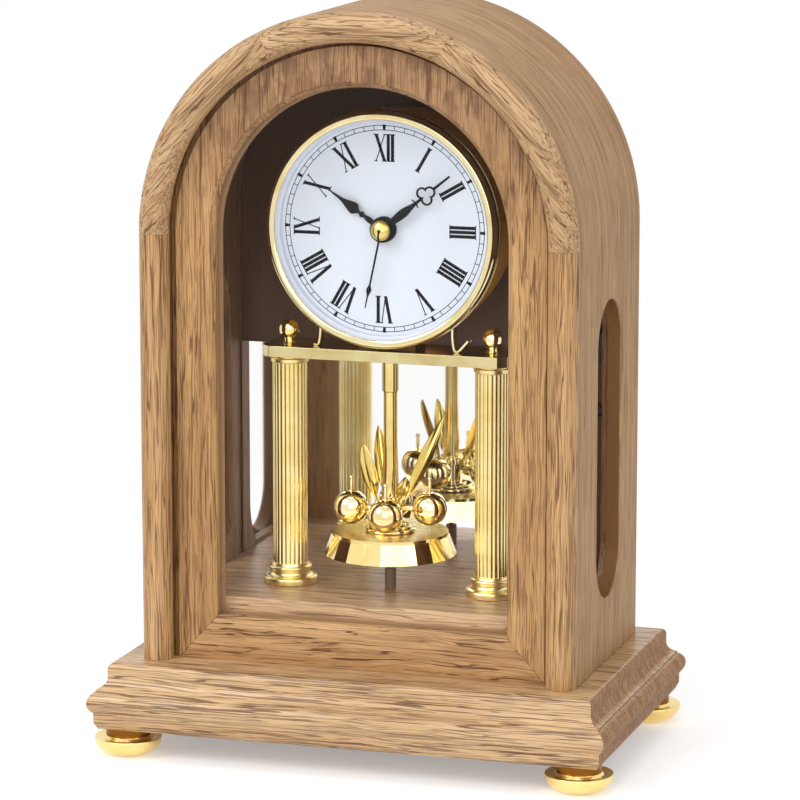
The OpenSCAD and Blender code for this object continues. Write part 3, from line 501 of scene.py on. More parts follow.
@dataclass(frozen=True)
class Moulded(Finish):
    """Paint, plastic or rubber: one colour that drifts a little over a fine texture."""

    colour: Colour
    shade: Colour
    rough: float
    patch: float = 8.0
    tooth: float = 0.6
    tooth_depth: float = 0.01
    metallic: float = 0.0
    shine: float = 0.5
    slot: str = field(default="black_enamel", kw_only=True)

    def mix(self, paint: Paint) -> Link:
        """Mix the paint.

        Args:
            paint: The material's tree.

        Returns:
            The shader.
        """
        place = paint.here()
        drift = paint.cloud(place, (self.patch,) * 3, 3)
        tooth = paint.cloud(place, (self.tooth,) * 3)
        sockets = {
            "Base Color": paint.mixed(drift, self.colour, self.shade),
            "Metallic": self.metallic,
            "Roughness": drift * 0.1 + self.rough,
            "Specular IOR Level": self.shine,
            "Normal": paint.relief(tooth, self.tooth_depth, 0.5),
        }
        return paint.coat(sockets)


@dataclass(frozen=True)
class Glass(Finish):
    """Clear glass that lets lamplight straight through to what is behind it."""

    index: float = 1.15
    shine: float = 0.15
    slot: str = field(default="clear_glass", kw_only=True)

    def mix(self, paint: Paint) -> Link:
        """Mix the glass, clear to lamps and to light that other pieces scatter.

        Args:
            paint: The material's tree.

        Returns:
            The shader.
        """
        path = paint.add("ShaderNodeLightPath", output="Is Shadow Ray")
        sockets = {
            "Base Color": WHITE,
            "Roughness": paint.cloud(paint.here(), (60, 60, 60), 1) * 0.004,
            "IOR": self.index,
            "Specular IOR Level": self.shine,
            "Transmission Weight": 1.0,
        }
        clear = path.most(path.other("Is Diffuse Ray"))
        through = paint.add("ShaderNodeBsdfTransparent")
        return paint.add("ShaderNodeMixShader", None, {0: clear, 1: paint.coat(sockets), 2: through})


# Paler tones on the plinth and its band: the wood's colour, partly raised to paint the sheen of the
# front; end grain takes its own tone.
OAK_PLINTH = Oak(
    "oak_plinth", Grain.ALONG_X, pale=srgb(222, 186, 140), warm=srgb(196, 156, 108),
    end_grain_and_painted_light=EndGrainAndPaintedLight.FIBRE_ENDS, end_grain_and_painted_light_tone=srgb(178, 134, 92), pore_length=15, pore_share=0.8,
    gloss=0.3, shine=0.6, start=(0, 3, 0),
)
OAK_BAND = replace(OAK_PLINTH, name="oak_band", start=(230, 40, 12))
OAK_ARCH = Oak(
    "oak_arch_moulding", Grain.STAVES, pale=srgb(210, 174, 130), warm=srgb(186, 148, 104),
    start=(90, -30, 6), line_length=30, sway=2,
)
OAK_POST_LEFT = Oak("oak_left_moulding", Grain.ALONG_Z, start=(0, 20, 30))
OAK_POST_RIGHT = Oak(
    "oak_right_moulding", Grain.ALONG_Z, pale=srgb(206, 164, 112), start=(300, -60, 8)
)
# Darker high round the arch: painted shade under the arch moulding's overhang, on wood that is darker
# there too.
OAK_FRAME = Oak(
    "oak_front_frame", Grain.ALONG_Z, pale=srgb(204, 160, 104), warm=srgb(172, 127, 77),
    end_grain_and_painted_light=EndGrainAndPaintedLight.CROWN, end_grain_and_painted_light_tone=srgb(172, 132, 92), start=(40, 0, 20), pith=(28, -60), pore_length=9,
)
OAK_RAIL = Oak(
    "oak_frame_rail", Grain.ALONG_X, start=(500, 11, 0), sway=3.6, line_length=60, line_gap=1.9,
    line_share=0.95, pore_share=0.4,
)
# Darker on the window walls: the shell's core under the veneer, and painted shade inside the windows.
OAK_SIDES = Oak(
    "oak_veneer_sides", Grain.ROUND_ARCH, pale=srgb(192, 155, 112), warm=srgb(170, 132, 90),
    dark=srgb(112, 78, 48), end_grain_and_painted_light=EndGrainAndPaintedLight.WINDOW_WALLS, end_grain_and_painted_light_tone=srgb(118, 82, 48), ring_share=0.3,
    sway=1.2, line_length=70, line_gap=1.2, line_share=0.55, pore_length=22, pore_share=0.5,
    gloss=0.5, shine=0.12, pith=(30, -160), slot="oak_veneer",
)
# Darker tones paint the shade inside the case; a paler tone near the front paints the light that reaches
# it there.
OAK_LINING = Oak(
    "oak_lining", Grain.ROUND_ARCH, pale=srgb(168, 126, 88), warm=srgb(140, 102, 70),
    dark=srgb(78, 52, 34), end_grain_and_painted_light=EndGrainAndPaintedLight.FRONT_EDGE, end_grain_and_painted_light_tone=srgb(196, 152, 104), sway=1.2,
    line_length=60, line_share=0.5, gloss=0.42, shine=0.3, pith=(30, -160), slot="oak_inside",
)
OAK_FLOOR = Oak(
    "oak_floor", Grain.ALONG_X, pale=srgb(222, 186, 144), warm=srgb(196, 156, 114),
    dark=srgb(112, 78, 50), start=(60, 0, 33), gloss=0.3, slot="oak_inside",
)
# Painted shade: a darker tone on the door's face inside the case.
OAK_DOOR = Oak(
    "oak_rear_door", Grain.ALONG_Z, pale=srgb(190, 152, 110), warm=srgb(160, 122, 82),
    dark=srgb(96, 66, 42), end_grain_and_painted_light=EndGrainAndPaintedLight.INNER_FACE, end_grain_and_painted_light_tone=srgb(92, 64, 42), start=(700, 0, 9),
    pith=(15, 20), ring=9.5, slot="oak_inside",
)
OAK_BEARERS = Oak(
    "oak_bearers", Grain.ALONG_X, pale=srgb(150, 118, 90), warm=srgb(122, 94, 70), gloss=0.6
)
POLISHED = Brass("brass_polished", srgb(253, 238, 190), srgb(244, 218, 150), spread=0.04)
LEAF_BRASS = Brass("brass_leaves", srgb(240, 214, 128), srgb(206, 172, 78), 0.1)
ROD_BRASS = Brass("brass_rod", srgb(248, 226, 156), srgb(226, 192, 104), 0.08)
BEZEL_BRASS = Brass("brass_bezel", srgb(240, 226, 178), srgb(226, 204, 144), 0.07, 0.03)
CAP_BRASS = Brass("brass_cap", srgb(244, 220, 138), srgb(220, 176, 78), 0.24, line=(0.5, 0.5, 0.5))
DISC_BRASS = Brass("brass_disc", rough=0.06, spread=0.03, top_rough=0.2, line=(14.0, 14.0, 14.0))
# Painted reflection: a saturated amber colour on a partly diffuse finish stands for the brown case that
# the polished drum reflects.
DRUM_BRASS = Brass(
    "brass_drum", srgb(255, 190, 58), srgb(224, 148, 36), 0.26, line=(9.0, 0.4, 9.0), metallic=0.4
)
SATIN = "satin_brass"
COLUMN_BRASS = Brass("brass_columns", rough=0.18, spread=0.06, line=(3.0, 3.0, 90.0), slot=SATIN)
TURNED = Brass("brass_turned", rough=0.26, line=(12.0, 12.0, 0.4), slot=SATIN)
PLATE_BRASS = Brass(
    "brass_plate", srgb(226, 210, 156), srgb(204, 184, 124), 0.14, line=(25.0, 0.5, 0.5), slot=SATIN
)
SADDLE_BRASS = Brass("brass_saddle", srgb(104, 78, 46), srgb(84, 60, 34), 0.3, slot=SATIN)
# Painted shade: darker amber on each foot's boss above the rim, in the recess under the plinth.
FOOT_BRASS = Brass(
    "brass_feet", srgb(250, 224, 152), srgb(244, 208, 128), 0.2, 0.08, painted_shade=srgb(128, 82, 30),
    painted_shade_from=7.9, slot=SATIN,
)
IRON = Moulded(
    "iron_dull", srgb(84, 76, 70), srgb(66, 60, 54), 0.6, metallic=0.5, slot="polished_brass"
)
STEEL = Moulded("steel_bright", srgb(205, 206, 210), srgb(172, 174, 180), 0.28, metallic=1.0)
SILVERED = Moulded(
    "mirror_silvered", srgb(253, 253, 252), srgb(250, 250, 250), 0.0, 60, 30, 0.0005, metallic=1.0,
    slot="mirror_glass",
)
# Painted light: the gasket is as pale as the rail, lightening the shade in the groove where it sits.
RUBBER = Moulded("gasket_rubber", srgb(178, 140, 100), srgb(164, 126, 88), 0.5, tooth_depth=0.02)
PLASTIC = Moulded("plastic_black", srgb(24, 24, 26), srgb(36, 36, 39), 0.42, tooth_depth=0.03)
DIAL_WHITE = Moulded(
    "enamel_dial", srgb(224, 231, 240), srgb(218, 225, 236), 0.4, 18, 1.2, 0.002, slot="white_enamel"
)
RING_WHITE = Moulded(
    "enamel_ring", srgb(226, 231, 243), srgb(216, 222, 238), 0.35, 10, 1.2, 0.002, slot="white_enamel"
)
PRINT_BLACK = Moulded(
    "enamel_print", srgb(10, 11, 16), srgb(16, 17, 24), 0.5, 4, 0.3, 0.002, shine=0.1
)
HAND_BLACK = Moulded(
    "enamel_hands", srgb(8, 9, 13), srgb(14, 15, 20), 0.4, 4, 0.4, 0.003, shine=0.15
)
PIN_DARK = Moulded("guide_post_dark", srgb(142, 114, 92), srgb(122, 96, 76), 0.5)
JACKET = Moulded(
    "battery_jacket", srgb(58, 66, 78), srgb(47, 54, 66), 0.32, slot="battery_jacket"
)
PANE = Glass("glass_pane")
DOME = Glass("glass_lens")


# Forms


def line(*parts: Union[Sequence[float], Array]) -> Array:
    """Points of a line, one in each row, from single points and whole runs of them."""
    return np.vstack([np.atleast_2d(np.asarray(part, dtype=float)) for part in parts])


def arc(centre: Sequence[float], radius: float, first: float, last: float, steps: int) -> Array:
    """Points on a circle, centre + radius (cos a, sin a), with a from first to last in degrees."""
    angles = np.radians(np.linspace(first, last, steps))
    return np.asarray(centre) + radius * np.column_stack([np.cos(angles), np.sin(angles)])


def dome(reach: Array, radius: float, rise: float) -> Array:
    """Height of a round dome over its rim, rise - R + sqrt(R^2 - r^2) at a distance r."""
    sphere = (radius**2 + rise**2) / (2 * rise)
    return rise - sphere + np.sqrt(np.maximum(sphere**2 - reach**2, 0))


def bar(foot: Sequence[float], head: Sequence[float], half_foot: float, half_head: float) -> Array:
    """Corners of an upright bar between two points, with its half width at each."""
    (x, y), (u, v) = foot, head
    return line((x - half_foot, y), (x + half_foot, y), (u + half_head, v), (u - half_head, v))


def spin(degrees: float) -> Array:
    """Matrix that turns about Z, counterclockwise from above."""
    c, s = math.cos(math.radians(degrees)), math.sin(math.radians(degrees))
    return np.array([[c, -s, 0], [s, c, 0], [0, 0, 1]])


def lean(degrees: float) -> Array:
    """Matrix that turns about Y, from Z towards X."""
    c, s = math.cos(math.radians(degrees)), math.sin(math.radians(degrees))
    return np.array([[c, 0, s], [0, 1, 0], [-s, 0, c]])


STILL = np.eye(3)
TURN_FRONT = np.array([[1.0, 0, 0], [0, 0, -1], [0, 1, 0]])
TURN_BACK = TURN_FRONT.T
TURN_RIGHT = np.array([[0.0, 0, 1], [0, 1, 0], [-1, 0, 0]])


@dataclass(frozen=True)
class Form:
    """A closed shape in millimetres: its points, and its faces as rows of point numbers."""

    points: Array
    faces: tuple[Array, ...]

    def __add__(self, other: "Form") -> "Form":
        """This form with another beside it."""
        shifted = tuple(face + len(self.points) for face in other.faces)
        return Form(np.vstack([self.points, other.points]), self.faces + shifted)

    def moved(self, shift: Sequence[float] = (0, 0, 0), turn: Array = STILL) -> "Form":
        """The form turned about the origin and then shifted."""
        return Form(self.points @ turn.T + np.asarray(shift, dtype=float), self.faces)

    def outward(self) -> "Form":
        """Reverse the faces' order if the form's signed volume is negative.

        Returns:
            The form with its faces outwards.
        """
        volume = 0.0
        for face in self.faces:
            corners = self.points[face]
            for k in range(1, face.shape[1] - 1):
                across = np.cross(corners[:, k], corners[:, k + 1])
                volume += float(np.einsum("ij,ij->", corners[:, 0], across))
        if volume >= 0:
            return self
        return Form(self.points, tuple(face[:, ::-1] for face in self.faces))


def together(*forms: Form) -> Form:
    """Several forms as one."""
    return functools.reduce(Form.__add__, forms)


def skin(grid: Array, loop: bool = False) -> Form:
    """Cover a grid of points whose columns run round the shape.

    Args:
        grid: Points by row, column and axis.
        loop: True if the last row joins the first, otherwise both end rows are closed.

    Returns:
        The closed form, with its faces outwards.
    """
    rows, columns = grid.shape[:2]
    number = np.arange(rows * columns).reshape(rows, columns)
    low = number if loop else number[:-1]
    high = np.roll(number, -1, axis=0) if loop else number[1:]
    quads = np.stack([low, np.roll(low, -1, 1), np.roll(high, -1, 1), high], -1).reshape(-1, 4)
    points = grid.reshape(-1, 3)
    if loop:
        return Form(points, (quads,)).outward()
    foot = np.full(columns, rows * columns)
    lids = [
        np.stack([np.roll(number[0], -1), number[0], foot], -1),
        np.stack([number[-1], np.roll(number[-1], -1), foot + 1], -1),
    ]
    points = np.vstack([points, grid[0].mean(axis=0), grid[-1].mean(axis=0)])
    return Form(points, (quads, np.vstack(lids))).outward()


def turned(profile: Array, sides: int, loop: bool = False) -> Form:
    """Turn a profile about Z: a point (r, z) becomes (r cos t, r sin t, z).

    Args:
        profile: Radius and height of each point.
        sides: Number of facets round the axis.
        loop: True if the profile closes on itself away from the axis.

    Returns:
        The turned form.
    """
    angle = np.linspace(0, 2 * math.pi, sides, endpoint=False)
    radius, height = profile[:, :1], profile[:, 1:]
    ways = (radius * np.cos(angle), radius * np.sin(angle), height + 0 * angle)
    return skin(np.stack(ways, axis=-1), loop)


def tube(bore: float, radius: float, low: float, high: float, sides: int = 48) -> Form:
    """Turned tube between two heights, or a solid pin where its bore is nought."""
    profile = line((bore, low), (radius, low), (radius, high), (bore, high))
    return turned(profile, sides, loop=bore > 0)


def slabs(quads: Array, low: float, high: float) -> Form:
    """Flat pieces with four corners each, from one height to another.

    Args:
        quads: Corners by piece, corner and axis, in the plane.
        low: Height of the undersides.
        high: Height of the upper sides.

    Returns:
        The pieces as one form.
    """
    count = len(quads)
    points = np.zeros((count, 2, 4, 3))
    points[..., :2] = quads[:, None]
    points[:, 0, :, 2] = low
    points[:, 1, :, 2] = high
    box = np.array([[3, 2, 1, 0], [4, 5, 6, 7], [0, 1, 5, 4], [1, 2, 6, 5], [2, 3, 7, 6], [3, 0, 4, 7]])
    faces = (box[None] + 8 * np.arange(count)[:, None, None]).reshape(-1, 4)
    return Form(points.reshape(-1, 3), (faces,)).outward()


def blade(stations: Array, widths: Array, low: float, high: float) -> Form:
    """Flat strip along Y whose half width changes along it, with eased upper edges.

    Args:
        stations: Places along the strip.
        widths: Half width at each place.
        low: Height of the underside.
        high: Height of the upper side.

    Returns:
        The strip.
    """
    ease = 0.3 * (high - low)
    crown = np.maximum(widths - ease, 0.3 * widths)
    right = [(widths, low), (widths, high - ease), (crown, high)]
    sides = [(-widths, low), *right, (-crown, high), (-widths, high - ease)]
    columns = [np.column_stack([x, stations, np.full_like(stations, z)]) for x, z in sides]
    return skin(np.stack(columns, axis=1))


def strip(path: Array, thickness: float, low: float, high: float) -> Form:
    """Bent strip of metal along a path in X and Z, between two places in Y.

    The path is moved by half the thickness along its normal, which is its direction turned by a
    quarter, to each side.

    Args:
        path: The middle line's points.
        thickness: Thickness of the strip.
        low: Y of its front edge.
        high: Y of its rear edge.

    Returns:
        The strip.
    """
    ahead = np.gradient(path, axis=0)
    ahead /= np.linalg.norm(ahead, axis=1, keepdims=True)
    side = np.column_stack([-ahead[:, 1], ahead[:, 0]]) * thickness / 2
    corners = [(path + side, low), (path - side, low), (path - side, high), (path + side, high)]
    columns = [np.column_stack([p[:, 0], np.full(len(p), y), p[:, 1]]) for p, y in corners]
    return skin(np.stack(columns, axis=1))


# Pieces


@dataclass
class Workshop:
    """Turns forms and CAD nodes into dressed pieces that ride on their bodies."""

    nodes: dict[str, bpy.types.Object]

    @staticmethod
    def _open(name: str, points: list[list[float]], faces: list[list[int]]) -> Opened:
        """Make a mesh and open it for work.

        Args:
            name: The mesh's name.
            points: Its points in metres.
            faces: The point numbers of each face.

        Returns:
            The mesh, and its opened copy.
        """
        mesh = bpy.data.meshes.new(name)
        mesh.from_pydata(points, [], faces)
        work = bmesh.new()
        work.from_mesh(mesh)
        return mesh, work

    @staticmethod
    def _close(
        opened: Opened,
        crease: float,
        name: str,
        body: str,
        finish: Finish,
        replaced: Sequence[str],
    ) -> bpy.types.Object:
        """Close a mesh and make it a piece.

        Args:
            opened: The mesh and its opened copy.
            crease: Edges sharper than this many degrees stay sharp.
            name: The piece's name.
            body: The body that it rides on.
            finish: Its finish.
            replaced: CAD nodes that it stands for.

        Returns:
            The piece.
        """
        mesh, work = opened
        work.to_mesh(mesh)
        work.free()
        mesh.shade_smooth()
        mesh.set_sharp_from_angle(angle=math.radians(crease))
        mesh.materials.append(finish.material())
        piece = bpy.data.objects.new(name, mesh)
        bpy.context.scene.collection.objects.link(piece)
        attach(piece, body)
        if replaced:
            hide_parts(*replaced)
        log.info("%s: %d faces on %s, in %s", name, len(mesh.polygons), body, finish.name)
        return piece

    def shape(
        self, name: str, form: Form, body: str, finish: Finish, *replaced: str, crease: float = 38.0
    ) -> None:
        """Make a piece from a form, without doubled points and faces that have no area.

        Args:
            name: The piece's name.
            form: Its shape in millimetres.
            body: The body that it rides on.
            finish: Its finish.
            replaced: CAD nodes that it stands for.
            crease: Edges sharper than this many degrees stay sharp.
        """
        faces = [face for group in form.faces for face in group.tolist()]
        opened = self._open(name, (form.points * MM).tolist(), faces)
        work = opened[1]
        bmesh.ops.remove_doubles(work, verts=work.verts, dist=WELD)
        bmesh.ops.dissolve_degenerate(work, edges=work.edges, dist=NO_LENGTH)
        self._close(opened, crease, name, body, finish, replaced)

    def eased(
        self, node: str, name: str, finish: Finish, ease: float, body: str = "case", corner: float = 25.0
    ) -> None:
        """Copy a CAD node and round its edges a little.

        Args:
            node: The node, which the piece stands for.
            name: The piece's name.
            finish: Its finish.
            ease: Width of the rounding in millimetres.
            body: The body that it rides on.
            corner: Edges sharper than this many degrees are rounded.
        """
        source = self.nodes[node].data
        points = np.empty(len(source.vertices) * 3)
        source.vertices.foreach_get("co", points)
        corners = np.empty(len(source.loops), dtype=int)
        source.loops.foreach_get("vertex_index", corners)
        faces = corners.reshape(-1, 3).tolist()
        opened = self._open(name, points.reshape(-1, 3).tolist(), faces)
        work = opened[1]
        bmesh.ops.remove_doubles(work, verts=work.verts, dist=CAD_WELD)
        bmesh.ops.dissolve_limit(work, angle_limit=CAD_FLAT, verts=work.verts, edges=work.edges)
        pairs = [edge for edge in work.edges if len(edge.link_faces) == 2]
        sharp = [edge for edge in pairs if edge.calc_face_angle() > math.radians(corner)]
        bmesh.ops.bevel(
            work, geom=sharp, offset=ease * MM, offset_type="OFFSET", segments=3, profile=0.5,
            affect="EDGES", clamp_overlap=True,
        )
        piece = self._close(opened, 50, name, body, finish, [node])
        piece.modifiers.new("even_faces", "WEIGHTED_NORMAL").keep_sharp = True

    def dress(self, finish: Finish, *nodes: str) -> None:
        """Give CAD nodes that stay in view their finish.

        Args:
            finish: The finish.
            nodes: The nodes.
        """
        for node in nodes:
            materials = self.nodes[node].data.materials
            materials.clear()
            materials.append(finish.material())
            log.info("%s: CAD node in %s", node, finish.name)


# The clock


@dataclass
class Plinth:
    """Moulded board, band, four turned feet and their screws."""

    shop: Workshop
    foot_radius: float = 13.6
    cup_share: float = 0.9
    rim: float = 0.6
    boss_height: float = 4.3
    boss_inset: float = 4.6
    bore: float = 1.7
    head_bore: float = 3.5
    head_depth: float = 3.0

    def build(self) -> None:
        """Make the plinth's pieces."""
        self.shop.eased("plinth_board", "plinth_moulded_board", OAK_PLINTH, 0.4)
        self.shop.eased("plinth_band", "plinth_lower_band", OAK_BAND, 0.4)
        self._feet()
        self.shop.dress(STEEL, "foot_screws", "case_screws")

    def _feet(self) -> None:
        """Turn the feet: a flattened half round cup, a straight rim and a boss on it.

        The cup's radius at height z is R sqrt(1 - ((c - z) share / c)^2), with c the rim's height.
        """
        high = span("feet")[1]
        top = high[2]
        rim_low = top - self.rim - self.boss_height
        height = np.linspace(0, rim_low, 22)
        radius = self.foot_radius * np.sqrt(1 - ((rim_low - height) * self.cup_share / rim_low) ** 2)
        boss = self.foot_radius - self.boss_inset
        rim_top = rim_low + self.rim
        profile = line(
            (self.bore, self.head_depth), (self.head_bore, self.head_depth),
            (self.head_bore, 0.4), (self.head_bore + 0.4, 0),
            np.column_stack([radius, height]),
            arc((self.foot_radius - 0.3, rim_top - 0.3), 0.3, 0, 90, 5),
            (boss + 2.2, rim_top - 0.5), (boss + 0.8, rim_top - 0.4),
            (boss, rim_top + 0.4), (boss, top), (self.bore, top),
        )
        foot = turned(profile, 72, loop=True)
        x, y = high[:2] - self.foot_radius
        feet = together(*(foot.moved((i * x, j * y, 0)) for i in (-1, 1) for j in (-1, 1)))
        self.shop.shape("feet_turned", feet, "case", FOOT_BRASS, "feet")


@dataclass
class Case:
    """Shell, lining, half-round mouldings, front frame, glass and floor."""

    shop: Workshop

    def build(self) -> None:
        """Make the case's pieces."""
        for node, name, finish, ease in (
            ("case_shell", "shell_veneered", OAK_SIDES, 0.4),
            ("case_lining", "lining_veneered", OAK_LINING, 0.4),
            ("moulding_left", "half_round_left", OAK_POST_LEFT, 0.2),
            ("moulding_right", "half_round_right", OAK_POST_RIGHT, 0.2),
            ("moulding_arch", "half_round_arch", OAK_ARCH, 0.2),
            ("front_frame", "frame_arched", OAK_FRAME, 0.3),
            ("frame_rail", "frame_bottom_rail", OAK_RAIL, 0.3),
            ("floor_board", "floor_polished", OAK_FLOOR, 0.5),
        ):
            self.shop.eased(node, name, finish, ease)
        self.shop.dress(OAK_BEARERS, "floor_bearers")
        self.shop.dress(PANE, "front_glass")
        self.shop.dress(RUBBER, "glass_gasket")


@dataclass
class RearDoor:
    """Door with its mirror, hinges, knob and magnetic catch."""

    shop: Workshop
    knob_place: Triple = (73.5, 0.0, 132.0)
    knob_ball: float = 4.4
    mirror_gap: float = 0.15
    mirror_drop: float = 4.0

    def build(self) -> None:
        """Make the door's pieces."""
        self.shop.eased("back_door", "door_veneered", OAK_DOOR, 0.4, "back_door")
        self.shop.eased("hinge_leaves_case", "hinges_on_case", TURNED, 0.12)
        self.shop.eased("hinge_leaves_door", "hinges_on_door", TURNED, 0.12, "back_door")
        self._mirror()
        self.shop.dress(STEEL, "hinge_pins")
        self.shop.dress(IRON, "catch_plate")
        self.shop.dress(PLASTIC, "catch_magnet")
        self._knob()

    def _mirror(self) -> None:
        """Cut the mirror, which stands on the floor board and ends behind the brass plate."""
        low, high = span("mirror")
        foot = span("floor_board")[1][2] + self.mirror_gap
        top = span("top_plate")[0][2] - self.mirror_drop
        corners = line((low[0], low[1]), (high[0], low[1]), (high[0], high[1]), (low[0], high[1]))
        pane = slabs(corners[None], foot, top)
        self.shop.shape("mirror_pane", pane, "back_door", SILVERED, "mirror")

    def _knob(self) -> None:
        """Turn the washer inside the door, and the knob with its stem through the door."""
        front, tip = (corner[1] for corner in span("door_knob"))
        face = span("back_door")[1][1]
        washer = line((0, front), (2.7, front), (3, front + 0.3), (3, front + 1.76), (0, front + 1.76))
        knob = line(
            (0, front + 1.78), (1.5, front + 1.78), (1.5, face + 0.03), (3.8, face + 0.03),
            (4, face + 0.3), (4, face + 1.2),
            arc((3.4, face + 1.2), 0.6, 0, 90, 5),
            (2.6, face + 2.1), (2.1, face + 3.2),
            arc((0, tip - self.knob_ball), self.knob_ball, -58, 90, 28),
        )
        washer, knob = (turned(form, 48).moved(self.knob_place, TURN_BACK) for form in (washer, knob))
        self.shop.shape("knob_washer", washer, "back_door", IRON)
        self.shop.shape("knob_turned", knob, "back_door", POLISHED, "door_knob")


@dataclass
class Stand:
    """Two fluted columns with bases and capitals, the plate on them and what it carries."""

    shop: Workshop
    flutes: int = 20
    flute_steps: int = 14
    flute_depth: float = 0.34
    flute_power: float = 0.6
    base_radius: float = 10.9
    ball_radius: float = 4.3
    clip_thickness: float = 0.8
    clip_place: float = 28.0

    def build(self) -> None:
        """Make the stand's pieces."""
        for side in ("left", "right"):
            self._column(side)
        self._bases()
        self._capitals()
        self._finials()
        self._clips()
        self.shop.eased("top_plate", "plate_cut_corners", PLATE_BRASS, 0.45)
        self.shop.eased("drum_saddle", "saddle_under_drum", SADDLE_BRASS, 0.3)
        self.shop.dress(STEEL, "tie_rods", "tie_nuts")

    def _middles(self) -> list[Array]:
        """The columns' middles, at the height of nought."""
        boxes = [span(f"column_{side}") for side in ("left", "right")]
        return [np.array([*((low + high) / 2)[:2], 0]) for low, high in boxes]

    def _pair(self, node: str, name: str, finish: Finish, profile: Array, sides: int) -> None:
        """Turn a profile on both columns' axes, as one piece."""
        forms = [turned(profile, sides).moved(middle) for middle in self._middles()]
        self.shop.shape(name, together(*forms), "case", finish, node)

    def _column(self, side: str) -> None:
        """Cut a fluted shaft, r = R - d (1 - |sin(n t / 2)|^k) round its axis.

        Args:
            side: "left" or "right".
        """
        node = f"column_{side}"
        low, high = span(node)
        radius = (high[0] - low[0]) / 2
        angle = np.linspace(0, 2 * math.pi, self.flutes * self.flute_steps, endpoint=False)
        crest = np.abs(np.sin(self.flutes * angle / 2)) ** self.flute_power
        edge = radius - self.flute_depth * (1 - crest)
        height = np.linspace(low[2], high[2], 9)[:, None]
        ways = np.broadcast_arrays(edge * np.cos(angle), edge * np.sin(angle), height)
        shaft = skin(np.stack(ways, axis=-1)).moved([*((low + high) / 2)[:2], 0])
        self.shop.shape(f"column_fluted_{side}", shaft, "case", COLUMN_BRASS, node, crease=50)

    def _bases(self) -> None:
        """Turn the bases: a round foot, a hollow slope and a bead under the shaft."""
        floor, top = (corner[2] for corner in span("column_bases"))
        edge = self.base_radius
        profile = line(
            (0, floor), (edge - 0.5, floor),
            arc((edge - 0.4, floor + 0.5), 0.4, -60, 0, 4),
            arc((edge - 1.1, floor + 2.1), 1.1, 0, 80, 8),
            arc((edge - 0.9, floor + 5.2), 2.0, 255, 195, 9),
            (8.1, floor + 5.3),
            arc((7.75, floor + 6.6), 0.95, -60, 80, 9),
            (7.75, top - 0.6), (7.6, top), (0, top),
        )
        self._pair("column_bases", "column_bases_turned", TURNED, profile, 96)

    def _capitals(self) -> None:
        """Turn the capitals: a band with eased edges under a narrower neck."""
        low, high = span("column_capitals")
        under, top = low[2], high[2]
        left, right = self._middles()
        radius = (high[0] - low[0]) / 2 - (right[0] - left[0]) / 2
        profile = line(
            (0, under), (radius - 0.3, under), (radius, under + 0.3), (radius, under + 1.7),
            (radius - 0.25, under + 2), (radius - 0.5, under + 2.2), (radius - 0.5, top), (0, top),
        )
        self._pair("column_capitals", "capitals_turned", TURNED, profile, 96)

    def _finials(self) -> None:
        """Turn the ball finials on their feet."""
        foot, top = (corner[2] for corner in span("finials"))
        profile = line(
            (0, foot), (2.8, foot), (3, foot + 0.2), (2.7, foot + 0.6), (2, foot + 0.9),
            arc((0, top - self.ball_radius), self.ball_radius, -58, 90, 28),
        )
        self._pair("finials", "finials_turned", POLISHED, profile, 64)

    def _clips(self) -> None:
        """Bend the strips that steady the drum on the plate, each from the drum to a foot.

        The right one's foot goes on as a tongue that rises outward, the left one's is short.
        """
        low, high = span("drum_clips")
        foot = low[2] + self.clip_thickness / 2
        x = self.clip_place
        run = line(
            arc((x + 1.5, foot + 1.2), 1.2, -50, -170, 8),
            (x - 0.1, foot + 3.2), (x - 0.35, foot + 6), (x - 0.3, high[2] - 0.9),
        )
        tongue = line((high[0] - 0.5, foot + 4.6), (x + 3.2, foot + 1.2))
        stub = (x + 2.4, foot + 0.5)
        right, left = (
            strip(line(start, run), self.clip_thickness, low[1], high[1]) for start in (tongue, stub)
        )
        left = Form(left.points * (-1, 1, 1), left.faces).outward()
        self.shop.shape("clips_bent", right + left, "case", POLISHED, "drum_clips", crease=50)


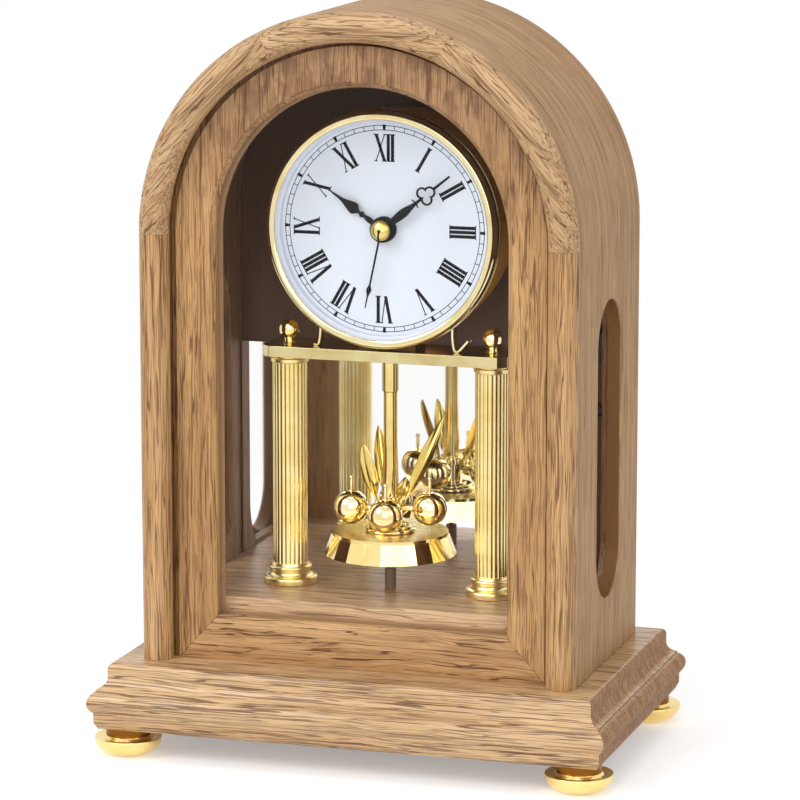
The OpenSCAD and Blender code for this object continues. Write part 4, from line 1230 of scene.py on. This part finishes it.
@dataclass
class DrumClock:
    """Drum with its bezel, lens, white ring and dial."""

    shop: Workshop
    lens_thickness: float = 1.0
    lens_rim: float = 1.2
    crown_radius: float = 46.0
    flank_drop: float = 3.4
    lip_radius: float = 44.2
    lip_drop: float = 0.8
    bead: float = 0.45
    bush_hole: float = 4.1

    def build(self) -> None:
        """Make the drum's pieces."""
        self.shop.eased("drum_case", "drum_spun", DRUM_BRASS, 0.25)
        self._bezel()
        self._lens()
        self._ring()
        self._dial()

    def place(self, form: Form) -> Form:
        """Lay a form turned about Z on the dial's axis, with its height pointing forward."""
        return form.moved((0, 0, ARCH_HEIGHT), TURN_FRONT)

    def _turn(self, name: str, profile: Array, sides: int, finish: Finish, node: str, loop: bool) -> None:
        """Turn a profile on the dial's axis as a piece."""
        self.shop.shape(name, self.place(turned(profile, sides, loop)), "case", finish, node)

    def _bezel(self) -> None:
        """Turn the bezel: a broad round front whose lip reaches over the lens, and a rear bead."""
        outer, back, front = disc("bezel")
        bore = disc("lens")[0] + 0.1
        bead, flank, crown = self.bead, outer - 0.3, self.crown_radius
        turn = np.radians(np.linspace(0, 180, 41))[:, None]
        outside = turn < math.pi / 2
        half = np.where(outside, flank - crown, crown - self.lip_radius)
        drop = np.where(outside, self.flank_drop, self.lip_drop)
        nose = np.hstack([crown + half * np.cos(turn), front - drop + drop * np.sin(turn)])
        profile = line(
            (bore, back),
            arc((outer - bead, back + bead), bead, -90, 90, 9),
            (flank, back + 2 * bead + 0.15),
            nose,
            (self.lip_radius + 0.1, front - self.lip_drop - 0.08), (bore, front - 1.0),
        )
        self._turn("bezel_rolled", profile, 240, BEZEL_BRASS, "bezel", loop=True)

    def _lens(self) -> None:
        """Blow the lens, two round domes a thickness apart."""
        radius, back, front = disc("lens")
        rise = front - back - self.lens_thickness
        reach = np.linspace(0, 1, 40)[:, None]
        inner, outer = reach * (radius - self.lens_rim), reach[::-1] * radius
        profile = line(
            np.hstack([inner, back + dome(inner, radius, rise)]),
            (radius - self.lens_rim, back), (radius, back),
            np.hstack([outer, back + self.lens_thickness + dome(outer, radius, rise)]),
        )
        self._turn("lens_domed", profile, 144, DOME, "lens", loop=False)

    def _ring(self) -> None:
        """Turn the white ring, a hollow slope from the dial's edge to the lens."""
        outer, back, front = disc("dial_ring")
        inner = outer - 2.5
        profile = line(
            (inner, back), (outer, back), (outer, front), (outer - 0.7, front),
            arc((inner - 0.7, front + 0.6), 2.55, -14, -68, 8),
        )
        self._turn("ring_white", profile, 192, RING_WHITE, "dial_ring", loop=True)

    def _dial(self) -> None:
        """Turn the dial, a thin disc with a hole for the hands' pipes and eased edges."""
        outer, back, front = disc("dial")
        hole, ease = self.bush_hole, 0.1
        profile = line(
            (hole, back), (outer, back), (outer, front - ease), (outer - ease, front),
            (hole + ease, front), (hole, front - ease),
        )
        self._turn("dial_plate", profile, 144, DIAL_WHITE, "dial", loop=True)


@dataclass
class DialPrint:
    """Minute track and numerals, a skin of print on the dial."""

    shop: Workshop
    drum: DrumClock
    track: float = 41.4
    track_width: float = 1.8
    hair: float = 0.28
    numeral_foot: float = 27.0
    numeral_height: float = 11.0
    thick: float = 1.35
    thin: float = 0.42
    gap: float = 0.4
    serif: float = 0.42
    leg: float = 4.3
    skin: float = 0.04
    numerals: str = "XII I II III IIII V VI VII VIII IX X XI"

    def build(self) -> None:
        """Print the dial: thin ticks and bold wedges on the track, its circles, and numerals."""
        face = -span("dial")[0][1]
        half = self.hair / 2
        low = self.track - self.track_width
        tick = bar((0, low), (0, self.track), half, half)
        wedge = bar((0, low - 0.15), (0, self.track + 0.35), 0.45, 0.72)
        quads = [self._round(tick, np.arange(60) * 6.0), self._round(wedge, np.arange(12) * 30.0)]
        quads += [self._numeral(text, hour * 30) for hour, text in enumerate(self.numerals.split())]
        marks = slabs(np.vstack(quads), face, face + self.skin)
        for radius in (self.track, low):
            marks = marks + tube(radius - half, radius + half, face, face + self.skin, 240)
        self.shop.shape("dial_markings", self.drum.place(marks), "case", PRINT_BLACK)

    @staticmethod
    def _round(quads: Array, degrees: Union[float, Array]) -> Array:
        """Turn quads from twelve o'clock to clockwise angles.

        Args:
            quads: Corners of one quad or of several, upright at twelve.
            degrees: One angle for each copy of a quad, or one for all of them.

        Returns:
            The turned corners.
        """
        turn = np.radians(np.atleast_1d(degrees))[:, None]
        x, y = quads[..., 0], quads[..., 1]
        ways = (x * np.cos(turn) + y * np.sin(turn), y * np.cos(turn) - x * np.sin(turn))
        return np.stack(ways, axis=-1)

    def _letter(self, letter: str, left: float) -> list[Array]:
        """Draw one letter of a numeral: its strokes, and a flat serif at each free end.

        Args:
            letter: "I", "V" or "X".
            left: Where its left side stands.

        Returns:
            The corners of each stroke and serif.
        """
        thick, thin, top = self.thick, self.thin, self.numeral_height
        first, last = left + thick / 2, left + self.leg
        foot = (first + last) / 2 + 0.25
        strokes = {
            "I": [(first, first, thick)],
            "V": [(foot, first, thick), (foot, last, thin)],
            "X": [(last, first, thick), (first, last, thin)],
        }
        quads = []
        for low, high, width in strokes[letter]:
            half = width / 2
            quads.append(bar((low, 0), (high, top), half, half))
            ends = [(high, top - thin), (low, 0)]
            for x, y in ends[:1] if letter == "V" else ends:
                quads.append(bar((x, y), (x, y + thin), half + self.serif, half + self.serif))
        return quads

    def _numeral(self, text: str, degrees: float) -> Array:
        """Set one numeral with its feet towards the middle.

        Args:
            text: The numeral.
            degrees: Its clockwise angle from twelve.

        Returns:
            The corners of its strokes.
        """
        quads: list[Array] = []
        left = 0.0
        for letter in text:
            quads += self._letter(letter, left)
            left += self.gap + (self.thick if letter == "I" else self.leg + self.thin)
        corners = np.array(quads) + ((self.gap - left) / 2, self.numeral_foot)
        return self._round(corners, degrees)


@dataclass
class Hands:
    """Hour, minute and second hands with their pipes, and the cap over them."""

    shop: Workshop
    drum: DrumClock
    plate: float = 0.35
    hour_length: float = 28.0
    hour_bore: float = 1.66
    hour_hub: float = 4.2
    hour_pipe: float = 2.5
    hour_swells: tuple[tuple[float, ...], ...] = (
        (14.3, 2.0, 1.5, 4.6), (10.4, 0.85, 0.7, 0.75), (6.6, 0.75, 2.4, 2.4),
    )
    minute_length: float = 36.0
    minute_bore: float = 0.81
    minute_hub: float = 5.0
    minute_pipe: float = 1.6
    minute_swell: tuple[float, ...] = (11.0, 1.3, 7.5, 5.0)
    second_length: float = 32.2
    second_hub: float = 2.0
    second_pin: float = 0.75
    cap_rim: float = 0.7
    clover: float = 23.6
    clover_step: float = 1.85
    clover_outer: float = 2.4
    clover_inner: float = 1.62
    barb_place: float = 18.2
    barb_turn: float = 104.0
    seat: float = 0.05

    def build(self) -> None:
        """Make the hands at the time shown, each a plate on a pipe, and the cap."""
        hour, minute, second = SHOWN_TIME
        minutes = minute + second / 60
        hour_pipe = (self.hour_bore, self.hour_pipe, 48)
        minute_pipe = (self.minute_bore, self.minute_pipe, 48)
        pin = (0.0, self.second_pin, 32)
        for node, plate, (bore, radius, sides), degrees, over in (
            ("hour_hand", self._hour(), hour_pipe, (hour + minutes / 60) * 30, ()),
            ("minute_hand", self._minute(), minute_pipe, minutes * 6, ()),
            ("second_hand", self._second(), pin, second * 6, (self._over_cap(),)),
        ):
            _, rear, front = disc(node)
            low = front - self.plate
            pipe = tube(bore, radius, rear, low + self.seat, sides)
            hand = together(plate.moved((0, 0, low)), pipe, *over).moved(turn=spin(-degrees))
            self.shop.shape(f"{node}_cut", self.drum.place(hand), node, HAND_BLACK, node)
        self._cap()

    @staticmethod
    def _width(place: Array, base: float, *swells: Sequence[float]) -> Array:
        """Half width along a hand: a base and swellings h exp(-((s - m) / w)^2).

        Args:
            place: Places s along the hand.
            base: The base.
            swells: Middle m and height h of each swelling, and its spread w before and after m.

        Returns:
            The half width at each place.
        """
        width = np.full_like(place, base)
        for middle, height, before, after in swells:
            spread = np.where(place < middle, before, after)
            width += height * np.exp(-(((place - middle) / spread) ** 2))
        return width

    def _hour(self) -> Form:
        """Cut the hour hand: a leaf with a scalloped neck and a long thin point.

        Returns:
            The hand's plate, pointing at twelve.
        """
        place = np.linspace(2.6, self.hour_length, 140)
        width = self._width(place, 0.45, *self.hour_swells)
        width *= np.clip((self.hour_length - place) / 4.5, 0.1, 1) ** 0.6
        hub = tube(self.hour_bore, self.hour_hub, 0, self.plate)
        return blade(place, width, 0, self.plate) + hub

    def _minute(self) -> Form:
        """Cut the minute hand: a slim leaf, a pair of swept barbs, an open clover and a thin point.

        Returns:
            The hand's plate, pointing at twelve.
        """
        shank = np.linspace(0.9, self.clover - 2.5, 90)
        tip = np.linspace(self.clover + 3.9, self.minute_length, 24)
        barb = blade(np.linspace(0, 2.1, 8), np.linspace(0.38, 0.2, 8), 0, self.plate)
        return together(
            blade(shank, self._width(shank, 0.5, self.minute_swell), 0, self.plate),
            blade(tip, np.linspace(0.56, 0.4, 24), 0, self.plate),
            self._clover_ring(),
            *(barb.moved((0, self.barb_place, 0), spin(i * self.barb_turn)) for i in (-1, 1)),
            tube(self.minute_bore, self.minute_hub, 0, self.plate),
        )

    def _clover_edge(self, ahead: Array, radius: float) -> Array:
        """Find the edge of three round leaves: the farthest of c.u + sqrt(r^2 - (c x u)^2).

        Args:
            ahead: Directions u from the clover's middle, one in each row.
            radius: Radius r of each leaf, whose middle is c.

        Returns:
            The distance to the edge in each direction.
        """
        turns = np.radians([90, 210, 330])
        leaves = self.clover_step * np.column_stack([np.cos(turns), np.sin(turns)])
        off = leaves[:, :1] * ahead[:, 1] - leaves[:, 1:] * ahead[:, 0]
        reach = leaves @ ahead.T + np.sqrt(np.maximum(radius**2 - off**2, 0))
        return np.where(radius > np.abs(off), reach, 0).max(axis=0)

    def _clover_ring(self) -> Form:
        """Cut the open clover as a flat ring.

        Returns:
            The ring.
        """
        angle = np.linspace(0, 2 * math.pi, 144, endpoint=False)
        ahead = np.column_stack([np.cos(angle), np.sin(angle)])
        inner, outer = (self._clover_edge(ahead, r) for r in (self.clover_inner, self.clover_outer))
        rings = [(inner, 0), (outer, 0), (outer, self.plate), (inner, self.plate)]
        rows = [np.column_stack([ahead * r[:, None], np.full(len(r), z)]) for r, z in rings]
        return skin(np.stack(rows), loop=True).moved((0, self.clover, 0))

    def _second(self) -> Form:
        """Cut the second hand: a needle with a lozenge before its long point.

        Returns:
            The hand's plate, pointing at twelve.
        """
        place = np.array([-2.2, 0, 22.4, 23.0, 24.6, 26.8, 27.4, self.second_length])
        width = np.array([0.5, 0.42, 0.36, 0.5, 1.15, 0.45, 0.32, 0.2])
        return blade(place, width, 0, self.plate) + tube(0, self.second_hub, 0, self.plate)

    def _cap_height(self, reach: Array) -> Array:
        """Height of the cap's dome at distances from the dial's axis."""
        radius, back, front = disc("centre_cap")
        return back + self.cap_rim + dome(reach, radius, front - back - self.cap_rim)

    def _over_cap(self) -> Form:
        """Bend the needle's root, which lies over the cap from its middle to its rim.

        Returns:
            The root.
        """
        radius = disc("centre_cap")[0]
        place = np.linspace(-0.5, radius + 0.1, 24)
        root = blade(place, self._width(place, 0.34, (0.0, 0.3, 0.5, 0.5)), 0.05, 0.32)
        raised = root.points.copy()
        raised[:, 2] += self._cap_height(np.minimum(np.abs(raised[:, 1]), radius))
        return Form(raised, root.faces)

    def _cap(self) -> None:
        """Turn the brass cap: a rim under a dome."""
        radius, back, _ = disc("centre_cap")
        reach = np.linspace(radius, 0, 20)[:, None]
        top = np.hstack([reach, self._cap_height(reach)])
        cap = turned(line((0, back), (radius - 0.1, back), (radius, back + 0.1), top), 72)
        self.shop.shape("cap_domed", self.drum.place(cap), "second_hand", CAP_BRASS, "centre_cap")


@dataclass
class Works:
    """Movement, battery and pendulum drive inside the drum."""

    shop: Workshop
    battery_radius: float = 7.1

    def build(self) -> None:
        """Make the pieces inside the drum."""
        self.shop.dress(PLASTIC, "movement", "drive_unit", "set_knob")
        self.shop.dress(STEEL, "battery_contacts", "pendulum_spindle")
        self.shop.dress(HAND_BLACK, "dial_nut")
        self._battery()

    def _battery(self) -> None:
        """Turn the battery: a crimped can with its pin, lying along X."""
        low, high = span("battery")
        middle = (low + high) / 2
        radius, start, end = self.battery_radius, low[0], high[0]
        profile = line(
            (0, start), (4.6, start), (4.8, start + 0.3), (radius - 0.8, start + 0.3),
            arc((radius - 0.6, start + 0.9), 0.6, -80, 0, 5),
            arc((radius - 0.6, end - 2.1), 0.6, 0, 85, 5),
            (3.4, end - 1.5), (2.7, end - 1.3), (2.7, end - 0.2), (2.5, end), (0, end),
        )
        cell = turned(profile, 64).moved((0, middle[1], middle[2]), TURN_RIGHT)
        self.shop.shape("battery_cell", cell, "battery", JACKET, "battery")


@dataclass
class Pendulum:
    """Turning pendulum: rod, hub, disc with its facets, balls, stems and leaves."""

    shop: Workshop
    middle: Triple = (0.0, -1.5, 0.0)
    rod_radius: float = 2.75
    collar_radius: float = 3.3
    collar_low: float = 143.8
    flare_top: float = 125.2
    flare_radius: float = 3.55
    ball_radius: float = 7.1
    orbit: float = 16.0
    ball_turn: float = 10.0
    dimple: float = 0.12
    dimple_width: float = 0.2
    stem_radius: float = 0.7
    stem_knob: float = 0.95
    leaf_width: float = 6.2
    leaf_half: float = 0.3
    leaf_rib: float = 0.55
    leaf_rib_width: float = 0.16
    leaf_curl: float = 0.6
    leaf_bow: float = 1.1
    leaf_foot: float = 6.2
    leaf_height: float = 99.1
    leaves: tuple[tuple[float, float, float, float], ...] = (
        (25, 24.5, 36.7, -70), (125, 19.5, 29.7, 0), (225, 14.5, 25.3, 50), (318, 26, 13, 0),
    )

    def build(self) -> None:
        """Make the pendulum's pieces."""
        self._rod()
        self._rings()
        self._balls()
        leaves = [self._leaf(*leaf).moved((0, 0, self.leaf_height)) for leaf in self.leaves]
        self._piece("pendulum_leaves", "leaves_chased", LEAF_BRASS, together(*leaves), 60)
        self.shop.eased("pendulum_disc", "disc_faceted", DISC_BRASS, 0.15, "pendulum", 12)
        self.shop.dress(POLISHED, "pendulum_hub")
        self.shop.dress(PIN_DARK, "guide_post")

    def _piece(self, node: str, name: str, finish: Finish, form: Form, crease: float = 38.0) -> None:
        """Move a form onto the pendulum's axis and make it a piece."""
        self.shop.shape(name, form.moved(self.middle), "pendulum", finish, node, crease=crease)

    def _rod(self) -> None:
        """Turn the rod with its collar and the flare towards its foot."""
        foot, top = (corner[2] for corner in span("pendulum_rod"))
        r, collar, step = self.rod_radius, self.collar_radius, self.collar_low
        flare = np.linspace(0, 1, 14)[:, None]
        radius = self.flare_radius - (self.flare_radius - r) * flare**0.8
        profile = line(
            (0, foot),
            np.hstack([radius, foot + (self.flare_top - foot) * flare]),
            (r, step - 0.4), (r + 0.1, step), (collar, step + 0.5),
            (collar, top - 0.4), (collar - 0.4, top), (0, top),
        )
        self._piece("pendulum_rod", "rod_turned", ROD_BRASS, turned(profile, 64))

    def _rings(self) -> None:
        """Turn the stepped ring between the disc and the hub, each step rounded."""
        z, top = (corner[2] for corner in span("hub_ring"))
        profile = line(
            (0, z),
            arc((9.65, z + 0.75), 0.75, -90, 90, 9),
            arc((8.5, z + 1.95), 0.45, -90, 90, 7),
            arc((6.0, z + 2.8), 0.4, -90, 90, 7),
            (0, top),
        )
        self._piece("hub_ring", "rings_turned", POLISHED, turned(profile, 96))

    def _balls(self) -> None:
        """Turn the balls with a dimple round each stem, and the stems with their knobs.

        A ball's radius at angle a from its lower pole is R (1 - d exp(-((pi - a) / w)^2)).
        """
        low, high = span("pendulum_balls")
        middle = (low[2] + high[2]) / 2
        angle = np.linspace(0, math.pi, 49)
        dimple = self.dimple * np.exp(-(((math.pi - angle) / self.dimple_width) ** 2))
        radius = self.ball_radius * (1 - dimple)
        ball = turned(np.column_stack([radius * np.sin(angle), -radius * np.cos(angle)]), 96)
        knob = span("ball_stems")[1][2] - middle - self.stem_knob
        pin = line(
            (0, 3.2), (self.stem_radius, 3.2), (self.stem_radius, knob - 1.1),
            arc((0, knob), self.stem_knob, -52, 90, 12),
        )
        turns = [spin(self.ball_turn + 90 * i) for i in range(4)]
        for node, name, form in (
            ("pendulum_balls", "balls_polished", ball),
            ("ball_stems", "stems_turned", turned(pin, 24)),
        ):
            forms = [form.moved(turn @ (self.orbit, 0, middle)) for turn in turns]
            self._piece(node, name, POLISHED, together(*forms))

    def _leaf(self, turn: float, tilt: float, length: float, roll: float) -> Form:
        """Chase one leaf and set it at the hub.

        With s from 0 to 1 along it and t from -1 to 1 across, its half width is
        W/2 sin(pi s^0.9)^0.75, its middle stands out as a rib and its edges curl back.

        Args:
            turn: Its turn round the hub, in degrees.
            tilt: How far it leans outward.
            length: Its length.
            roll: Its turn on itself.

        Returns:
            The leaf with its stalk.
        """
        s = np.linspace(0.004, 0.996, 34)[:, None]
        t = np.linspace(-1, 1, 17)[None]
        half = self.leaf_width / 2 * np.sin(math.pi * s**0.9) ** 0.75
        height = 2 + s * (length - 2) + 0 * t
        rib = self.leaf_rib * np.exp(-((t / self.leaf_rib_width) ** 2)) * np.sin(math.pi * s) ** 0.5
        relief = rib - self.leaf_curl * (t * half / 2.6) ** 2
        bow = self.leaf_bow * np.sin(math.pi * s) + 0 * t
        front = np.stack([bow + relief + self.leaf_half, half * t, height], axis=-1)
        rear = np.stack([bow + 0.6 * relief - self.leaf_half, half * t, height], axis=-1)
        stalk = turned(line((0, -1.5), (0.75, -1.5), (0.6, 5), (0.3, 7), (0, 7)), 16)
        leaf = skin(np.concatenate([front, rear[:, ::-1]], axis=1)) + stalk
        return leaf.moved((self.leaf_foot, 0, 0), lean(tilt) @ spin(roll)).moved(turn=spin(turn))


# The studio


@dataclass
class Studio:
    """Pale floor, soft lamps, white surroundings and the camera, in metres and watts."""

    floor_half: float = 9.0
    shadow_reach: float = 0.16
    white_reach: float = 0.5
    glow: float = 0.3
    ambient: float = 0.5
    aim_height: float = 0.15
    camera_place: Triple = (0.4814, -1.54584, 0.44214)
    camera_turn: Triple = (79.43, 0.0, 17.18)
    focal: float = 183.69
    sensor: float = 36.0
    nearest: float = 0.05
    farthest: float = 60.0
    lamps: tuple[tuple[str, Triple, float, float], ...] = (
        ("key_lamp", (-1.3, -1.7, 1.7), 1.3, 29),
        ("front_lamp", (0.75, -2.5, 1.1), 2.0, 20),
        ("fill_lamp", (1.9, -1.0, 1.1), 1.2, 7),
        ("top_lamp", (0.1, -0.1, 2.2), 1.2, 12),
    )

    def build(self) -> None:
        """Set the studio up."""
        self._floor()
        self._world()
        for lamp in self.lamps:
            self._lamp(*lamp)
        self._camera()
        bpy.context.scene.view_settings.view_transform = "Standard"

    @staticmethod
    def _put(name: str, data: bpy.types.ID) -> bpy.types.Object:
        """Put a floor, a lamp or a camera into the scene.

        Args:
            name: Its name.
            data: Its data.

        Returns:
            The new object.
        """
        thing = bpy.data.objects.new(name, data)
        bpy.context.scene.collection.objects.link(thing)
        return thing

    def _floor(self) -> None:
        """Lay the floor, which camera, metal and glass see paler than it is, and white far away."""
        paint = Paint(bpy.data.materials.new("floor_pale"))
        seen = paint.seen()
        x, y, _ = paint.split(paint.here())
        far = paint.eased((x * x + y * y).root(), self.shadow_reach, self.white_reach)
        mottle = paint.cloud(paint.here(), (400, 400, 400), 1)
        tone = paint.mixed(mottle, srgb(243, 243, 244), srgb(240, 240, 241))
        lit = paint.coat({"Base Color": tone, "Roughness": 0.7, "Specular IOR Level": 0.1})
        near = paint.add("ShaderNodeAddShader", None, {0: lit, 1: paint.glow(seen * self.glow)})
        sockets = {0: far * seen, 1: near, 2: paint.glow(1.0)}
        blend = paint.add("ShaderNodeMixShader", None, sockets)
        half = self.floor_half
        mesh = bpy.data.meshes.new("studio_floor")
        corners = [(-half, -half, 0), (half, -half, 0), (half, half, 0), (-half, half, 0)]
        mesh.from_pydata(corners, [], [(0, 1, 2, 3)])
        mesh.materials.append(paint.done("ShaderNodeOutputMaterial", blend))
        self._put("studio_floor", mesh)

    def _world(self) -> None:
        """Surround the clock with plain light that camera, metal and glass see as white."""
        paint = Paint(bpy.data.worlds.new("studio_surroundings"))
        sockets = {"Value": paint.seen(), "To Min": self.ambient}
        strength = paint.add("ShaderNodeMapRange", None, sockets)
        back = paint.add("ShaderNodeBackground", None, {"Color": WHITE, "Strength": strength})
        bpy.context.scene.world = paint.done("ShaderNodeOutputWorld", back)

    def _lamp(self, name: str, place: Triple, size: float, power: float) -> None:
        """Hang a square soft lamp that faces the clock.

        Args:
            name: The lamp's name.
            place: Where it hangs.
            size: Its width.
            power: Its power.
        """
        data = bpy.data.lights.new(name, "AREA")
        data.size = size
        data.energy = power
        lamp = self._put(name, data)
        lamp.location = place
        x, y, z = (-part for part in place)
        z += self.aim_height
        lamp.rotation_euler = (math.atan2(math.hypot(x, y), -z), 0, math.atan2(y, x) - math.pi / 2)

    def _camera(self) -> None:
        """Stand the camera where the photograph was taken from."""
        data = bpy.data.cameras.new("camera")
        data.sensor_width = self.sensor
        data.lens = self.focal
        data.clip_start = self.nearest
        data.clip_end = self.farthest
        camera = self._put("camera", data)
        camera.location = self.camera_place
        camera.rotation_euler = tuple(math.radians(turn) for turn in self.camera_turn)
        bpy.context.scene.camera = camera


def main() -> None:
    """Build the clock and its studio, one sub-assembly after another."""
    logging.basicConfig(level=logging.INFO, format="%(message)s")
    shop = Workshop(frame["nodes"])
    drum = DrumClock(shop)
    assemblies = [
        Plinth(shop), Case(shop), RearDoor(shop), Stand(shop), drum, DialPrint(shop, drum),
        Hands(shop, drum), Works(shop), Pendulum(shop), Studio(),
    ]
    for assembly in assemblies:
        log.info("building %s", type(assembly).__name__)
        assembly.build()


if __name__ == "__main__":
    main()
